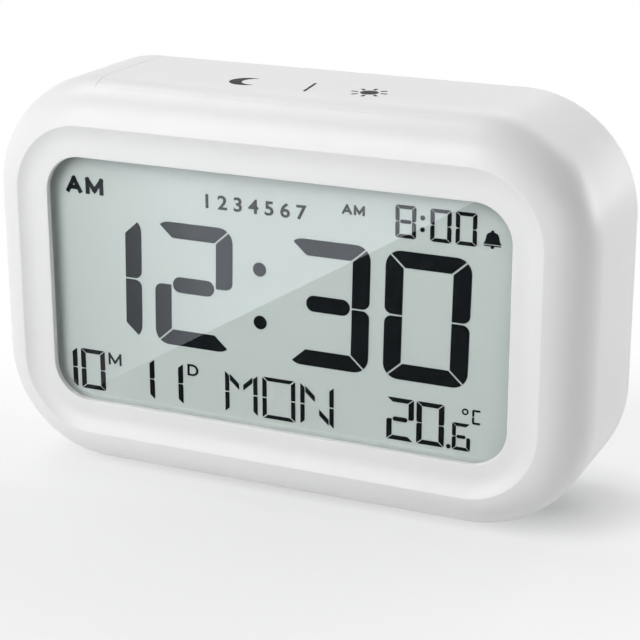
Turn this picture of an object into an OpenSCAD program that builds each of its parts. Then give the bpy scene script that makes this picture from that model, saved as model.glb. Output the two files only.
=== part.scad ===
/* [Body] */
// Width of the body
body_w = 135; // [132:1:142]
// Height of the body without its feet
body_h = 86.5; // [85:0.5:92]
// Depth of the body from the crest round the display to the back
body_d = 41.65; // [40.5:0.05:54]
// Radius of the body's corners seen from the front
corner_r = 25.2; // [23:0.1:27]
// Radius of the soft front edge
front_edge_r = 12; // [11:0.1:13]
// Radius of the back edge
back_edge_r = 8; // [7:0.5:9]
// Wall of the housing, the rear cover and the snooze key
wall = 2.2; // [1.8:0.1:2.6]
// How far round the back edge the joint to the rear cover lies, in degrees
seam_angle = 33; // [28:1:36]
// Open joint line between two outer pieces
seam_gap = 0.15; // [0.1:0.05:0.3]

/* [Display] */
// How far the window lies in from the left and the right side of the body
side_in = 15.3; // [14.5:0.1:18]
// How far the window lies in from the top and the bottom of the body
top_in = 16.05; // [15:0.05:18]
// Radius of the window's corners
window_r = 8.2; // [6:0.1:10]
// How far the crest round the display lies in from the top and the bottom of the body
crest_in = 9; // [8.2:0.1:10]
// Depth of the hollow between the crest and the window
dish_d = 1.25; // [1:0.05:1.6]
// Width of the flat foot of the hollow round the window
dish_flat = 2.4; // [1.5:0.1:3]
// Thickness of the frame round the window
window_lip = 1.2; // [1:0.1:1.5]
// Thickness of the clear lens
lens_t = 1.8; // [1.4:0.1:2.2]
// How far the lens reaches behind the frame on each side
lens_lap = 1.8; // [1.2:0.1:2]
// Thickness of the foam gasket behind the lens
gasket_t = 0.4; // [0.3:0.1:0.8]
// How far the display glass reaches past the window at its left and right
lcd_lap = 1.2; // [1:0.1:1.6]
// Height of the contact ledge above and below the back glass
lcd_ledge = 2.5; // [2.2:0.1:3]
// Thickness of each of the two display glasses
glass_t = 1.2; // [0.9:0.1:1.4]
// Thickness of the clear light guide
guide_t = 3; // [2:0.2:4]
// Wall of the white frame that holds the display
frame_wall = 1.2; // [1:0.1:1.6]

/* [Figures] */
// Height of the row above the large figures
row_above = 12.35; // [12:0.05:14]
// Height of the row below the large figures
row_below = 14.85; // [14:0.05:16]
// Width of the large figures
big_w = 18.3; // [16:0.1:19]
// Distance between neighbouring large figures
big_pitch = 21.6; // [20:0.1:22]
// Extra room for the colon between hours and minutes
colon_room = 9.4; // [8:0.1:10]
// Height of the figures in the bottom row
small_h = 9.2; // [8:0.1:9.6]

/* [Keys] */
// How far the ends of the snooze key stay clear of the body's corners
snooze_in = 0.3; // [0.2:0.1:4]
// How far down the front edge the snooze key starts, in degrees from the front
snooze_angle = 60; // [54:1:70]
// Travel of the snooze key
snooze_travel = 0.8; // [0.4:0.1:1]
// Diameter of the snooze key's guide posts
post_d = 5; // [4:0.1:5.6]
// Width of a setting key
key_w = 9; // [8:0.5:10]
// Height of a setting key
key_h = 5; // [4:0.5:6]
// Distance between neighbouring setting keys
key_pitch = 15; // [13:0.5:15]
// Travel of a setting key
key_travel = 0.5; // [0.3:0.1:0.6]
// Depth of the sunk strip round the setting keys
strip_d = 1.2; // [1:0.1:1.6]

/* [Power] */
// Diameter of a battery
cell_d = 10.5; // [10:0.1:11]
// Length of a battery with its button
cell_l = 44.5; // [43.5:0.1:45.5]
// Length of a battery spring as fitted
cell_spring_l = 4.2; // [3.6:0.1:5]
// Thickness of the battery door
door_t = 2; // [1.6:0.1:2.4]
// Diameter of the sounder disc
sounder_d = 21; // [18:0.5:22]

/* [Feet and screws] */
// Diameter of a rubber foot
foot_d = 8; // [6:0.5:9]
// How far the feet stand proud of the bottom
foot_proud = 0.6; // [0.4:0.1:1.5]
// Radius of the screw bosses
boss_r = 3.2; // [2.8:0.1:3.4]
// Diameter of the screws' shanks
screw_d = 2.4; // [2:0.1:2.6]

/* [Hidden] */
$fn = 64;

// Clearances
slip = 0.2;
running = 0.1;
cut = 1;

// Body: heights are counted from its middle, depths from half way between the crest and the back
mid_z = foot_proud + body_h / 2;
core_w = body_w - 2 * corner_r;
core_h = body_h - 2 * corner_r;
back_y = body_d / 2;
edge_drop = front_edge_r - sqrt(pow(front_edge_r, 2) - pow(front_edge_r - crest_in, 2));
front_y = -body_d / 2 - edge_drop;
seam_y = back_y - back_edge_r + back_edge_r * sin(seam_angle);
inner_r = corner_r - wall;
inner_top = body_h / 2 - wall;
cover_y = back_y - wall;

// Hollow round the window
window_w = body_w - 2 * side_in;
window_h = body_h - 2 * top_in;
window_y = -body_d / 2 + dish_d;
window_core_w = window_w - 2 * window_r;
window_core_h = window_h - 2 * window_r;
dish_w = top_in - crest_in - dish_flat;
dish_r = (pow(dish_w, 2) + pow(dish_d, 2)) / (2 * dish_d);

// Display stack from the lens back to the main board
lens_y = window_y + window_lip;
gasket_y = lens_y + lens_t;
lcd_y = gasket_y + gasket_t;
lcd_back_y = lcd_y + glass_t;
guide_y = lcd_back_y + glass_t;
reflector_t = 0.2;
reflector_y = guide_y + guide_t;
board_room = 0.3;
board_y = reflector_y + reflector_t + board_room;
board_t = 1.6;
board_back_y = board_y + board_t;
gasket_in = 0.8;
lens_w = window_w + 2 * lens_lap;
lens_h = window_h + 2 * lens_lap;
lens_rest = 1;
lcd_w = window_w + 2 * lcd_lap;
lcd_back_lap = 0.5;
lcd_back_h = window_h + 2 * lcd_back_lap;
lcd_h = lcd_back_h + 2 * lcd_ledge;
guide_h = window_h - 2 * slip;
frame_w = lcd_w + 2 * slip + 2 * frame_wall;
frame_h = lcd_h + 2 * slip + 2 * frame_wall;
led_w = 1.8;
led_h = 3;
guide_left = -lcd_w / 2 + led_w + 3 * slip;
frame_bar = 0.8;
bar_gap = 0.15;
segment_t = 0.1;
zebra_gap = 0.45;
zebra_t = lcd_ledge - 2 * zebra_gap;
zebra_in = 4;
zebra_z = (lcd_back_h + lcd_h) / 4;

// Screws and bosses
pilot_gap = 0.03;
hole_gap = 0.25;
pilot_r = screw_d / 2 + pilot_gap;
hole_r = screw_d / 2 + hole_gap;
head_r = screw_d;
head_t = 1.6;
cross_w = 0.6;
cross_l = 2.8;
boss_root = 0.45;
boss_foot_y = lens_y - boss_root;
boss_gap = 0.3;
boss_x = frame_w / 2 + boss_gap + boss_r;
ear_t = 2;
ear_y = board_y - ear_t;
ear_z = 8;
ear_root = 1;
pilot_floor = 1.5;
cover_screw_in = 1.45;
cover_screw_z = core_h / 2 + cover_screw_in;
cover_tube_l = 4.6;
cover_boss_y = cover_y - cover_tube_l;
head_sunk = 3.2;
cover_seat_y = back_y - head_sunk;
cover_screw_l = 12;
board_screw_l = 8;

// Snooze key and its bracket
snooze_w = core_w - 2 * snooze_in;
snooze_front_y = front_y + front_edge_r * (1 - cos(snooze_angle));
bracket_out = 5;
bracket_x = snooze_w / 2 + bracket_out;
bracket_boss_r = 2.8;
bracket_gap = 0.4;
bracket_z = frame_h / 2 + bracket_gap + bracket_boss_r;
wire_room = 2.2;
bracket_y = board_back_y + wire_room;
bracket_t = 2;
bracket_rim = 0.5;
shelf_t = 2;
shelf_drop = 4;
shelf_top = bracket_z - shelf_drop;
post_in = 12;
post_x = snooze_w / 2 - post_in;
post_back = 6.45;
post_y = bracket_y + post_back;
neck_step = 0.8;
neck_end = 0.6;
post_neck_d = post_d - 2 * neck_step;
clip_t = 1.2;
clip_gap = 0.1;
clip_lip = 1.5;
clip_r = post_d / 2 + clip_lip;
spring_wire = 0.6;
spring_turns = 5;
spring_gap = 0.05;
spring_rest = spring_wire / 2 + spring_gap;
spring_room = 0.6;
switch_w = 6;
switch_h = 3.4;
stem_d = 3;
stem_proud = 1.4;
plunger_lip = 0.5;
plunger_d = stem_d + 2 * plunger_lip;
stem_sunk = 1.2;
stem_bore_r = stem_d / 2 + running;
small_board_t = 1.2;
small_board_w = 16;
small_board_l = 12;
snooze_switch_z = shelf_top + small_board_t;
snooze_stem_top = snooze_switch_z + switch_h + stem_proud;

// Setting keys and their board
strip_y = back_y - strip_d;
strip_in = 3.5;
strip_room = 2.5;
strip_w = 4 * key_pitch + key_w + 2 * strip_in;
strip_h = key_h + 2 * strip_room;
key_pad_y = strip_y - wall;
key_proud = 0.9;
flange_lip = 1;
flange_t = 0.8;
flange_y = key_pad_y - slip - flange_t;
key_plunger_l = 1.2;
key_plunger_r = 1.8;
key_stem_y = flange_y - key_plunger_l;
key_switch_y = key_stem_y - stem_proud;
key_board_y = key_switch_y - switch_h;
shelf_gap = 1.2;
shelf_end_y = key_board_y - board_t - shelf_gap;
key_boss_gap = 4;
key_boss_x = 2 * key_pitch + key_w / 2 + key_boss_gap;
key_boss_r = 2.6;
key_board_in = 3.5;
key_board_w = 2 * key_boss_x + 2 * key_board_in;
key_board_h = 15;
key_screw_l = 5;

// Battery bay
contact_t = 0.4;
bay_wall = 1.5;
bay_l = cell_l + cell_spring_l + 2 * contact_t;
cell_gap = 0.5;
cell_pitch = cell_d + cell_gap;
bay_room = 0.3;
bay_h = 3 * cell_pitch + 2 * bay_room;
bay_z = -12;
door_in_y = back_y - door_t;
door_gap = 0.4;
cell_y = door_in_y - door_gap - cell_d / 2;
contact_in = 1;
cone_r = 3.6;
cone_tip_r = 2;
cone_turns = 3;
bay_floor_y = cell_y - cell_d / 2 - slip;
nub_d = 3.8;
nub_l = 0.8;
door_lap = 2.25;
door_w = bay_l + 2 * door_lap;
door_low = bay_z - bay_h / 2 - door_lap;
knuckle_r = 1.4;
hinge_y = back_y - knuckle_r;
hinge_gap = 1.2;
hinge_z = bay_z + bay_h / 2 + hinge_gap + knuckle_r;
hinge_pin_r = 0.8;
hinge_pin_l = 1.2;
hinge_bore_r = hinge_pin_r + running;
rim_t = 3.2;
flange_in_y = cover_y - rim_t;
rim_wall = 2.5;
rim_w = door_w + 2 * slip + 2 * rim_wall;
rim_low = door_low - slip - rim_wall;
rim_high = hinge_z + knuckle_r + slip + rim_wall;
strip_gap = 1.3;
key_z = rim_high + strip_gap + wall + strip_h / 2;
scoop_r = 7;
scoop_d = 1.4;
scoop_low = 1;
grip_r = 0.7;
grip_d = 0.4;
grip_l = 14;
grip_pitch = 2;
grip_z = 4;
tongue_w = 8;
tongue_t = 1;
tongue_l = 3;
lip_t = 1.2;
lip_l = 2.6;
lip_root = 0.8;
lip_r = inner_r - running;

// Sounder
sounder_gap = 3;
sounder_x = rim_w / 2 + sounder_gap + sounder_d / 2;
sounder_z = 0;
sounder_ring_l = 2.5;
sounder_ring_w = 1.5;
sounder_t = 0.3;
sounder_y = cover_y - sounder_ring_l - sounder_t;
ceramic_d = 14;
ceramic_t = 0.25;
hole_pitch = 4;
hole_d = 1.8;

// Wires: routes are written from the body's middle
wire_r = 0.5;
wire_steps = 12;
wire_end = 0.1;
ribbon_w = 12;
ribbon_t = 0.6;
ribbon_sag = 2.5;
ribbon_end = 5;
ribbon_z = key_z - ribbon_end;
wire_hole_gap = 0.3;
wire_bend = 9;
wire_out = 5;
wire_back = 8;
wire_side = 3;
lead_in = 1.7;
lead_x = 6;
lead_gap = 0.9;
lead_rise = 5;
lead_drop = 7;

// Large figures, placed from the window's right edge
big_in = 8.9;
big_right = window_w / 2 - big_in;
big_h = window_h - row_above - row_below;
big_z = (row_below - row_above) / 2;
big_stroke = 3.85;
big_bar = 3.45;
big_r = 3.3;
big_waist_r = 1.6;
big_lean = 0.021;
big_gap = 0.36;
colon_in = 3.3;
colon_x = big_right - 2 * big_pitch - colon_in;
colon_z = 5.75;
colon_r = 1.5;

// Bottom row: month and day from the left, weekday in the middle, temperature from the right
bottom_in = 6.2;
bottom_z = -window_h / 2 + bottom_in;
small_w = 6;
small_stroke = 1.15;
small_bar = 0.95;
small_r = 0.4;
small_gap = 0.2;
small_pitch = 7;
month_in = 11.1;
day_in = 30.4;
temp_in = 14.2;
temp_pitch = 6.6;
point_r = 0.48;
point_x = 1;
tenth_x = 3.7;
tenth_w = 3.9;
tenth_h = 5.9;
tenth_stroke = 0.8;
tenth_bar = 0.7;
letter_w = 7.6;
letter_stroke = 0.95;
letter_bar = 0.8;
letter_r = 0.1;
letter_gap = 0.3;
letter_pitch = 8.8;
letter_x = 0.95;
slope_h = 1.3;
slope_in = 0.6;
slope_low = 0.75;
slope_x = 2.65;
slope_tip = 0.5;

// Alarm time in the top row, from the right
alarm_top = 6.3;
alarm_z = window_h / 2 - alarm_top;
alarm_in = 8.2;
alarm_w = 4.4;
alarm_h = 6.7;
alarm_stroke = 0.85;
alarm_bar = 0.75;
alarm_r = 0.5;
alarm_gap = 0.15;
alarm_pitch = 5.3;
alarm_hour_x = 12.7;
alarm_colon_x = 11.35;
alarm_colon_z = 1.2;
alarm_dot_r = 0.5;

// Pieces on the main board
chip_x = -14;
chip_z = -6;
chip_r = 8;
chip_t = 2;
crystal_r = 1.05;
crystal_l = 6;
crystal_x = 12;
crystal_leg_r = 0.15;
crystal_leg_x = 0.4;
crystal_leg_l = 2;
part_w = 2;
part_h = 1.2;
part_t = 0.8;
part_pitch = 4;
part_x = 10;
part_z = 11;
sensor_side = 14.8;
sensor_up = 7.6;
sensor_r = 1.3;
sensor_leg_l = 5;
sensor_leg_r = 0.2;
sensor_leg_x = 0.6;

// Feet
foot_sunk = 0.8;
foot_in = 2;
foot_edge = 0.5;
foot_x = core_w / 2 - foot_d / 2 - foot_in;
foot_front_y = front_y + front_edge_r + foot_d / 2 + foot_edge;
foot_back_y = back_y - back_edge_r - foot_d / 2 - foot_edge;

// Moves a piece from the body's middle up to its place over the feet
module lift() {
    translate([0, 0, mid_z]) children();
}

// Rectangle with round corners
module round_rect(w, h, r) {
    square([w - 2 * r, h], center = true);
    square([w, h - 2 * r], center = true);
    for (sx = [-1, 1], sz = [-1, 1]) translate([sx * (w / 2 - r), sz * (h / 2 - r)]) circle(r);
}

// Plate that faces the front, from depth y0 to depth y1, with its outline as the child
module plate(y0, y1) {
    translate([0, y1, 0]) rotate([90, 0, 0]) linear_extrude(y1 - y0) children();
}

// Round bar along the depth
module bar(r, y0, y1) {
    translate([0, y1, 0]) rotate([90, 0, 0]) cylinder(r = r, h = y1 - y0);
}

// Sweeps a half section round a rectangle of w by h: the child's x runs outwards, its y runs to the back
module sweep_round(w, h) {
    for (turn = [0:3]) {
        side = turn == 1 || turn == 2 ? -1 : 1;
        level = turn > 1 ? 1 : -1;
        translate([side * w / 2, 0, level * h / 2]) rotate([0, turn * 90, 0]) rotate([-90, 0, 0])
            rotate_extrude(angle = 90) children();
    }
    for (flip = [0, 1]) {
        mirror([flip, 0, 0]) translate([w / 2, 0, -h / 2]) linear_extrude(h) children();
        mirror([0, 0, flip]) translate([w / 2, 0, h / 2]) rotate([0, -90, 0]) linear_extrude(w) children();
    }
}

// Half section of a block: reach r, from depth y0 to y1, with its front and back edges rounded
module block_section(r, y0, y1, r0, r1) {
    translate([0, y0 + r0]) square([r, y1 - y0 - r0 - r1]);
    translate([0, y0]) square([r - max(r0, r1), y1 - y0]);
    intersection() {
        translate([r - r0, y0 + r0]) circle(r0);
        translate([0, y0]) square([r, 2 * r0]);
    }
    if (r1 > 0) {
        translate([0, y1 - 2 * r1]) square([r - r1, 2 * r1]);
        translate([r - r1, y1 - r1]) circle(r1);
    }
}

// Whole body, shrunk by the given wall and cut off square at the back where square_y is given
module body_block(shrink, square_y = undef) {
    y0 = front_y + shrink;
    y1 = is_undef(square_y) ? back_y - shrink : square_y;
    r1 = is_undef(square_y) ? back_edge_r - shrink : 0;
    sweep_round(core_w, core_h) block_section(corner_r - shrink, y0, y1, front_edge_r - shrink, r1);
    plate(y0, y1) square([core_w, core_h], center = true);
}

// Half section of the hollow round the window, grown by the thickness of its wall
module dish_section(grow) {
    front = front_y - cut;
    arc_y = window_y - dish_r;
    foot_r = window_r + dish_flat;
    translate([0, front]) square([foot_r, window_y + grow - front]);
    intersection() {
        translate([foot_r, arc_y]) circle(dish_r + grow);
        translate([foot_r, front]) square([dish_r + grow, window_y + grow - front]);
    }
}

// Hollow round the window
module dish(grow) {
    sweep_round(window_core_w, window_core_h) dish_section(grow);
    plate(front_y - cut, window_y + grow) square([window_core_w, window_core_h], center = true);
}

// Everything behind a depth
module behind(y) {
    translate([-body_w, y, -body_h]) cube([2 * body_w, body_d, 2 * body_h]);
}

// The four places that repeat left and right, above and below
module four(x, z) {
    for (sx = [-1, 1], sz = [-1, 1]) translate([sx * x, 0, sz * z]) children();
}

// Left and right
module pair(x, z) {
    for (sx = [-1, 1]) translate([sx * x, 0, z]) children();
}

// Side section of the snooze key: outer skin less the inside, between its front and its back
module snooze_section() {
    difference() {
        intersection() {
            block_section(corner_r, front_y, back_y, front_edge_r, back_edge_r);
            translate([0, snooze_front_y]) square([corner_r, seam_y - snooze_front_y - slip]);
        }
        block_section(inner_r, front_y + wall, back_y, front_edge_r - wall, 0);
    }
}

// Screw along the depth: its head sits on y, its shank points to the front
module screw(y, length) {
    difference() {
        union() {
            bar(head_r, y, y + head_t);
            bar(screw_d / 2, y - length, y + head_t / 4);
        }
        translate([0, y + head_t, 0]) cube([cross_w, head_t, cross_l], center = true);
        translate([0, y + head_t, 0]) cube([cross_l, head_t, cross_w], center = true);
    }
}

// Push switch body that faces up, with the bore for its stem's travel
module switch_body(travel) {
    difference() {
        translate([-switch_w / 2, -switch_w / 2, 0]) cube([switch_w, switch_w, switch_h]);
        translate([0, 0, switch_h - stem_sunk - travel - slip]) cylinder(r = stem_bore_r, h = switch_h);
    }
}

// Stem of a push switch, from the body's top
module switch_stem() {
    translate([0, 0, switch_h - stem_sunk]) cylinder(d = stem_d, h = stem_sunk + stem_proud);
}

// Unit vector
function unit(v) = v / norm(v);

// Point on a smooth curve through four guide points
function curve_point(p, t) =
    pow(1 - t, 3) * p[0] + 3 * pow(1 - t, 2) * t * p[1] + 3 * (1 - t) * pow(t, 2) * p[2] + pow(t, 3) * p[3];

// Points along that curve, with a short straight piece at each end that meets its seat squarely
function curve(p) = concat(
    [p[0], p[0] + wire_end * unit(p[1] - p[0])],
    [for (i = [1:wire_steps - 1]) curve_point(p, i / wire_steps)],
    [p[3] + wire_end * unit(p[2] - p[3]), p[3]]
);

// Direction of a path at one of its points
function heading(path, i) = unit(path[min(i + 1, len(path) - 1)] - path[max(i - 1, 0)]);

// Ring of points round a path
function ring(path, i, r, sides, ref) =
    let (
        t = heading(path, i),
        n = unit(cross(t, ref)),
        b = cross(n, t)
    )
    [for (k = [0:sides - 1]) path[i] + r * (cos(360 * k / sides) * n + sin(360 * k / sides) * b)];

// Tube along a path
module tube(path, r, sides, ref) {
    rows = len(path);
    points = [for (i = [0:rows - 1]) each ring(path, i, r, sides, ref)];
    walls = [for (i = [0:rows - 2], k = [0:sides - 1]) each [
        [i * sides + k, i * sides + (k + 1) % sides, (i + 1) * sides + k],
        [i * sides + (k + 1) % sides, (i + 1) * sides + (k + 1) % sides, (i + 1) * sides + k]
    ]];
    ends = [for (k = [1:sides - 2]) each [
        [0, k + 1, k],
        [(rows - 1) * sides, (rows - 1) * sides + k, (rows - 1) * sides + k + 1]
    ]];
    polyhedron(points, concat(walls, ends));
}

// Points of a coil that climbs from z0 to z1, with its mean radius going from r0 to r1
function coil(r0, r1, z0, z1, turns) =
    let (steps = turns * 10)
    [for (i = [0:steps])
        let (t = i / steps, r = r0 + (r1 - r0) * t)
        [r * cos(360 * turns * t), r * sin(360 * turns * t), z0 + (z1 - z0) * t]];

// Housing: front, top, sides and bottom in one shell, open at the back
module front_housing() {
    color("white") lift() difference() {
        union() {
            difference() {
                body_block(0);
                difference() {
                    body_block(wall, back_y + cut);
                    dish(window_lip);
                    plate(front_y, lens_y)
                        round_rect(lens_w + 2 * lens_rest, lens_h + 2 * lens_rest, window_r);
                }
                behind(seam_y);
            }
            four(boss_x, cover_screw_z) bar(boss_r, boss_foot_y, cover_boss_y);
            four(boss_x, ear_z) bar(boss_r, boss_foot_y, ear_y);
            pair(bracket_x, bracket_z) bar(bracket_boss_r, boss_foot_y, bracket_y);
        }
        dish(0);
        plate(front_y, lens_y + cut) round_rect(window_w, window_h, window_r);
        translate([-snooze_w / 2 - seam_gap, snooze_front_y - seam_gap, inner_top - 2 * wall])
            cube([snooze_w + 2 * seam_gap, body_d, body_h]);
        four(boss_x, cover_screw_z) bar(pilot_r, cover_boss_y - cover_screw_l, cover_boss_y + cut);
        four(boss_x, ear_z) bar(pilot_r, boss_foot_y + pilot_floor, ear_y + cut);
        pair(bracket_x, bracket_z) bar(pilot_r, bracket_y - board_screw_l, bracket_y + cut);
        foot_places() translate([0, 0, -cut]) cylinder(d = foot_d + slip, h = foot_sunk + cut);
    }
}

// Feet: half sunk into the flat of the bottom
module foot_places() {
    for (sx = [-1, 1], y = [foot_front_y, foot_back_y]) translate([sx * foot_x, y, -body_h / 2]) children();
}
module feet() {
    color("dimgray") lift() foot_places() translate([0, 0, -foot_proud])
        cylinder(d = foot_d, h = foot_proud + foot_sunk);
}

// Clear lens behind the frame
module display_lens() {
    color("lightcyan", 0.4) lift() plate(lens_y, gasket_y) round_rect(lens_w, lens_h, window_r);
}

// Foam ring between the lens and the display glass
module display_gasket() {
    color("gainsboro") lift() plate(gasket_y, lcd_y) difference() {
        round_rect(lens_w, lens_h, window_r);
        round_rect(window_w + 2 * gasket_in, window_h + 2 * gasket_in, window_r);
    }
}

// Display cell: the front glass stands past the back glass above and below, for its contacts
module lcd_cell() {
    color("darkseagreen") lift() {
        plate(lcd_y, lcd_back_y) square([lcd_w, lcd_h], center = true);
        plate(lcd_back_y, guide_y) square([lcd_w, lcd_back_h], center = true);
    }
}

// One seven-bar figure of w by h: v is the stroke of its upright bars, b of its level bars, r rounds its four
// corners and waist_r its two waists, and bars says which are on: top, upper right, lower right, bottom, lower
// left, upper left, middle
module figure(w, h, v, b, r, waist_r, gap, bars) {
    half = h / 2 - gap / 2;
    for (i = [0:6]) if (bars[i] == 1) {
        low = i == 2 || i == 3 || i == 4;
        left = i == 4 || i == 5;
        if (i == 6) pill(w - 2 * v - 2.4 * gap, b);
        else mirror([0, low ? 1 : 0]) mirror([left ? 1 : 0, 0]) intersection() {
            translate([0, (h - half - r) / 2]) round_rect(w, half + r, r);
            translate([0, (h - half + r) / 2]) round_rect(w, half + r, waist_r);
            if (i == 0 || i == 3) polygon([
                [-w / 2 + gap, h / 2], [w / 2 - gap, h / 2],
                [w / 2 - v - gap, h / 2 - b], [-w / 2 + v + gap, h / 2 - b]
            ]);
            else polygon([
                [w / 2, h / 2 - gap / 2], [w / 2, gap / 2],
                [w / 2 - v, gap / 2], [w / 2 - v, h / 2 - b - gap / 2]
            ]);
        }
    }
}

// Bars of the figures that show
BARS_0 = [1, 1, 1, 1, 1, 1, 0];
BARS_1 = [0, 1, 1, 0, 0, 0, 0];
BARS_2 = [1, 1, 0, 1, 1, 0, 1];
BARS_3 = [1, 1, 1, 1, 0, 0, 1];
BARS_6 = [1, 0, 1, 1, 1, 1, 1];
BARS_8 = [1, 1, 1, 1, 1, 1, 1];
BARS_SIDES = [0, 1, 1, 0, 1, 1, 0];

// Large figure with its right edge at x
module big_figure(x, bars) {
    translate([x - big_w / 2, big_z]) multmatrix([[1, big_lean, 0, -big_lean * big_h / 2], [0, 1, 0, 0]])
        figure(big_w, big_h, big_stroke, big_bar, big_r, big_waist_r, big_gap, bars);
}

// Figure of the bottom row, with its right edge at x
module small_figure(x, bars) {
    translate([x - small_w / 2, bottom_z])
        figure(small_w, small_h, small_stroke, small_bar, small_r, small_r, small_gap, bars);
}

// Figure of the alarm time, with its right edge at x
module alarm_figure(x, bars) {
    translate([x - alarm_w / 2, alarm_z])
        figure(alarm_w, alarm_h, alarm_stroke, alarm_bar, alarm_r, alarm_r, alarm_gap, bars);
}

// Weekday letter at place i, made of the same bars
module letter(i, bars) {
    translate([letter_x + i * letter_pitch, bottom_z])
        figure(letter_w, small_h, letter_stroke, letter_bar, letter_r, letter_r, letter_gap, bars);
}

// Sloping bar in the upper left of a weekday letter at place i, which mirrors to the other quarters
module slope(i, flip_x, flip_z) {
    top = small_h / 2 - slope_in;
    translate([letter_x + i * letter_pitch, bottom_z]) mirror([flip_x, 0]) mirror([0, flip_z]) polygon([
        [-slope_x, top], [-slope_tip, slope_low + slope_h],
        [-slope_tip, slope_low], [-slope_x, top - slope_h]
    ]);
}

// Figures of the display: time, alarm time, month, day, weekday and temperature
module lcd_segments() {
    hours_right = big_right - 2 * big_pitch - colon_room;
    month_right = -window_w / 2 + month_in;
    day_right = -window_w / 2 + day_in;
    temp_right = window_w / 2 - temp_in;
    alarm_right = window_w / 2 - alarm_in;
    color("black") lift() plate(lcd_y - segment_t, lcd_y) {
        big_figure(hours_right - big_pitch, BARS_1);
        big_figure(hours_right, BARS_2);
        big_figure(big_right - big_pitch, BARS_3);
        big_figure(big_right, BARS_0);
        for (side = [-1, 1]) translate([colon_x, big_z + side * colon_z]) circle(colon_r);
        small_figure(month_right - small_pitch, BARS_1);
        small_figure(month_right, BARS_0);
        small_figure(day_right - small_pitch, BARS_1);
        small_figure(day_right, BARS_1);
        letter(-1, BARS_SIDES);
        slope(-1, 0, 0);
        slope(-1, 1, 0);
        letter(0, BARS_0);
        letter(1, BARS_SIDES);
        slope(1, 0, 0);
        slope(1, 1, 1);
        small_figure(temp_right - temp_pitch, BARS_2);
        small_figure(temp_right, BARS_0);
        translate([temp_right + point_x, bottom_z - small_h / 2 + point_r]) circle(point_r);
        translate([temp_right + tenth_x, bottom_z + (tenth_h - small_h) / 2])
            figure(tenth_w, tenth_h, tenth_stroke, tenth_bar, small_r, small_r, alarm_gap, BARS_6);
        alarm_figure(alarm_right - alarm_hour_x, BARS_8);
        for (side = [-1, 1]) translate([alarm_right - alarm_colon_x, alarm_z + side * alarm_colon_z])
            circle(alarm_dot_r);
        alarm_figure(alarm_right - alarm_pitch, BARS_0);
        alarm_figure(alarm_right, BARS_0);
    }
}

// Light guide behind the display glass, cut short at the left for its lamps
module light_guide() {
    color("aliceblue", 0.6) lift() plate(guide_y, reflector_y) guide_outline();
}
module guide_outline() {
    translate([guide_left, -guide_h / 2]) square([lcd_w / 2 - guide_left, guide_h]);
}

// White film behind the light guide
module light_reflector() {
    color("whitesmoke") lift() plate(reflector_y, reflector_y + reflector_t) guide_outline();
}

// Two small lamps at the left edge of the light guide, standing on the main board
module backlight_leds() {
    color("palegreen") lift() for (z = [-guide_h / 4, guide_h / 4])
        translate([guide_left - slip - led_w, guide_y + slip, z - led_h / 2])
            cube([led_w, board_y - guide_y - slip, led_h]);
}

// Ears that the frame and the main board share, with their screw holes
module ears() {
    difference() {
        union() {
            for (sx = [-1, 1], sz = [-1, 1]) {
                translate([sx * boss_x, sz * ear_z]) circle(boss_r);
                translate([sx * (boss_x + frame_w / 2 - ear_root) / 2, sz * ear_z])
                    square([boss_x - frame_w / 2 + ear_root, 2 * boss_r], center = true);
            }
        }
        for (sx = [-1, 1], sz = [-1, 1]) translate([sx * boss_x, sz * ear_z]) circle(hole_r);
    }
}

// White frame round the display stack, with two bars between the light guide and the contact strips
module display_frame() {
    color("ivory") lift() {
        plate(lcd_y, board_y) difference() {
            square([frame_w, frame_h], center = true);
            square([frame_w - 2 * frame_wall, frame_h - 2 * frame_wall], center = true);
        }
        for (sz = [-1, 1]) plate(guide_y, board_y)
            translate([0, sz * (guide_h / 2 + bar_gap + frame_bar / 2)])
                square([frame_w - frame_wall, frame_bar], center = true);
        plate(ear_y, board_y) ears();
    }
}

// Rubber contact strips between the display glass and the main board
module zebra_strips() {
    color("slategray") lift() for (sz = [-1, 1])
        plate(lcd_back_y, board_y) translate([0, sz * zebra_z])
            square([lcd_w - 2 * zebra_in, zebra_t], center = true);
}

// Main board
module main_board() {
    color("darkgreen") lift() plate(board_y, board_back_y) {
        square([frame_w, frame_h], center = true);
        ears();
    }
}

// Clock chip under its drop of black resin
module clock_chip() {
    color("black") lift() translate([chip_x, board_back_y, chip_z]) rotate([-90, 0, 0])
        rotate_extrude($fn = 180) intersection() {
            translate([0, -chip_r * 2 + chip_t]) circle(chip_r * 2, $fn = 360);
            square([chip_r, chip_t]);
        }
}

// Quartz crystal in its small can, lying on the board beside the chip
module quartz_crystal() {
    color("silver") lift() translate([chip_x + crystal_x, board_back_y + crystal_r, chip_z - crystal_l / 2]) {
        cylinder(r = crystal_r, h = crystal_l);
        for (sx = [-1, 1]) translate([sx * crystal_leg_x, 0, -crystal_leg_l])
            cylinder(r = crystal_leg_r, h = crystal_leg_l);
    }
}

// Small chip resistors and capacitors
module board_parts() {
    color("tan") lift() for (row = [0:1], i = [0:4])
        translate([chip_x - part_x + part_pitch * i, board_back_y, chip_z + part_z + part_pitch * row])
            cube([part_w, part_t, part_h]);
}

// Temperature sensor bead on its two legs
module temperature_sensor() {
    x = frame_w / 2 - sensor_side;
    z = -frame_h / 2 + sensor_up;
    color("darkslategray") lift() translate([x, board_back_y, z]) {
        translate([0, sensor_leg_l, 0]) sphere(r = sensor_r);
        for (sx = [-1, 1]) translate([sx * sensor_leg_x, 0, 0]) rotate([-90, 0, 0])
            cylinder(r = sensor_leg_r, h = sensor_leg_l);
    }
}

// Screws of the frame and the main board
module board_screws() {
    color("silver") lift() four(boss_x, ear_z) screw(board_back_y, board_screw_l);
}

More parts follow.
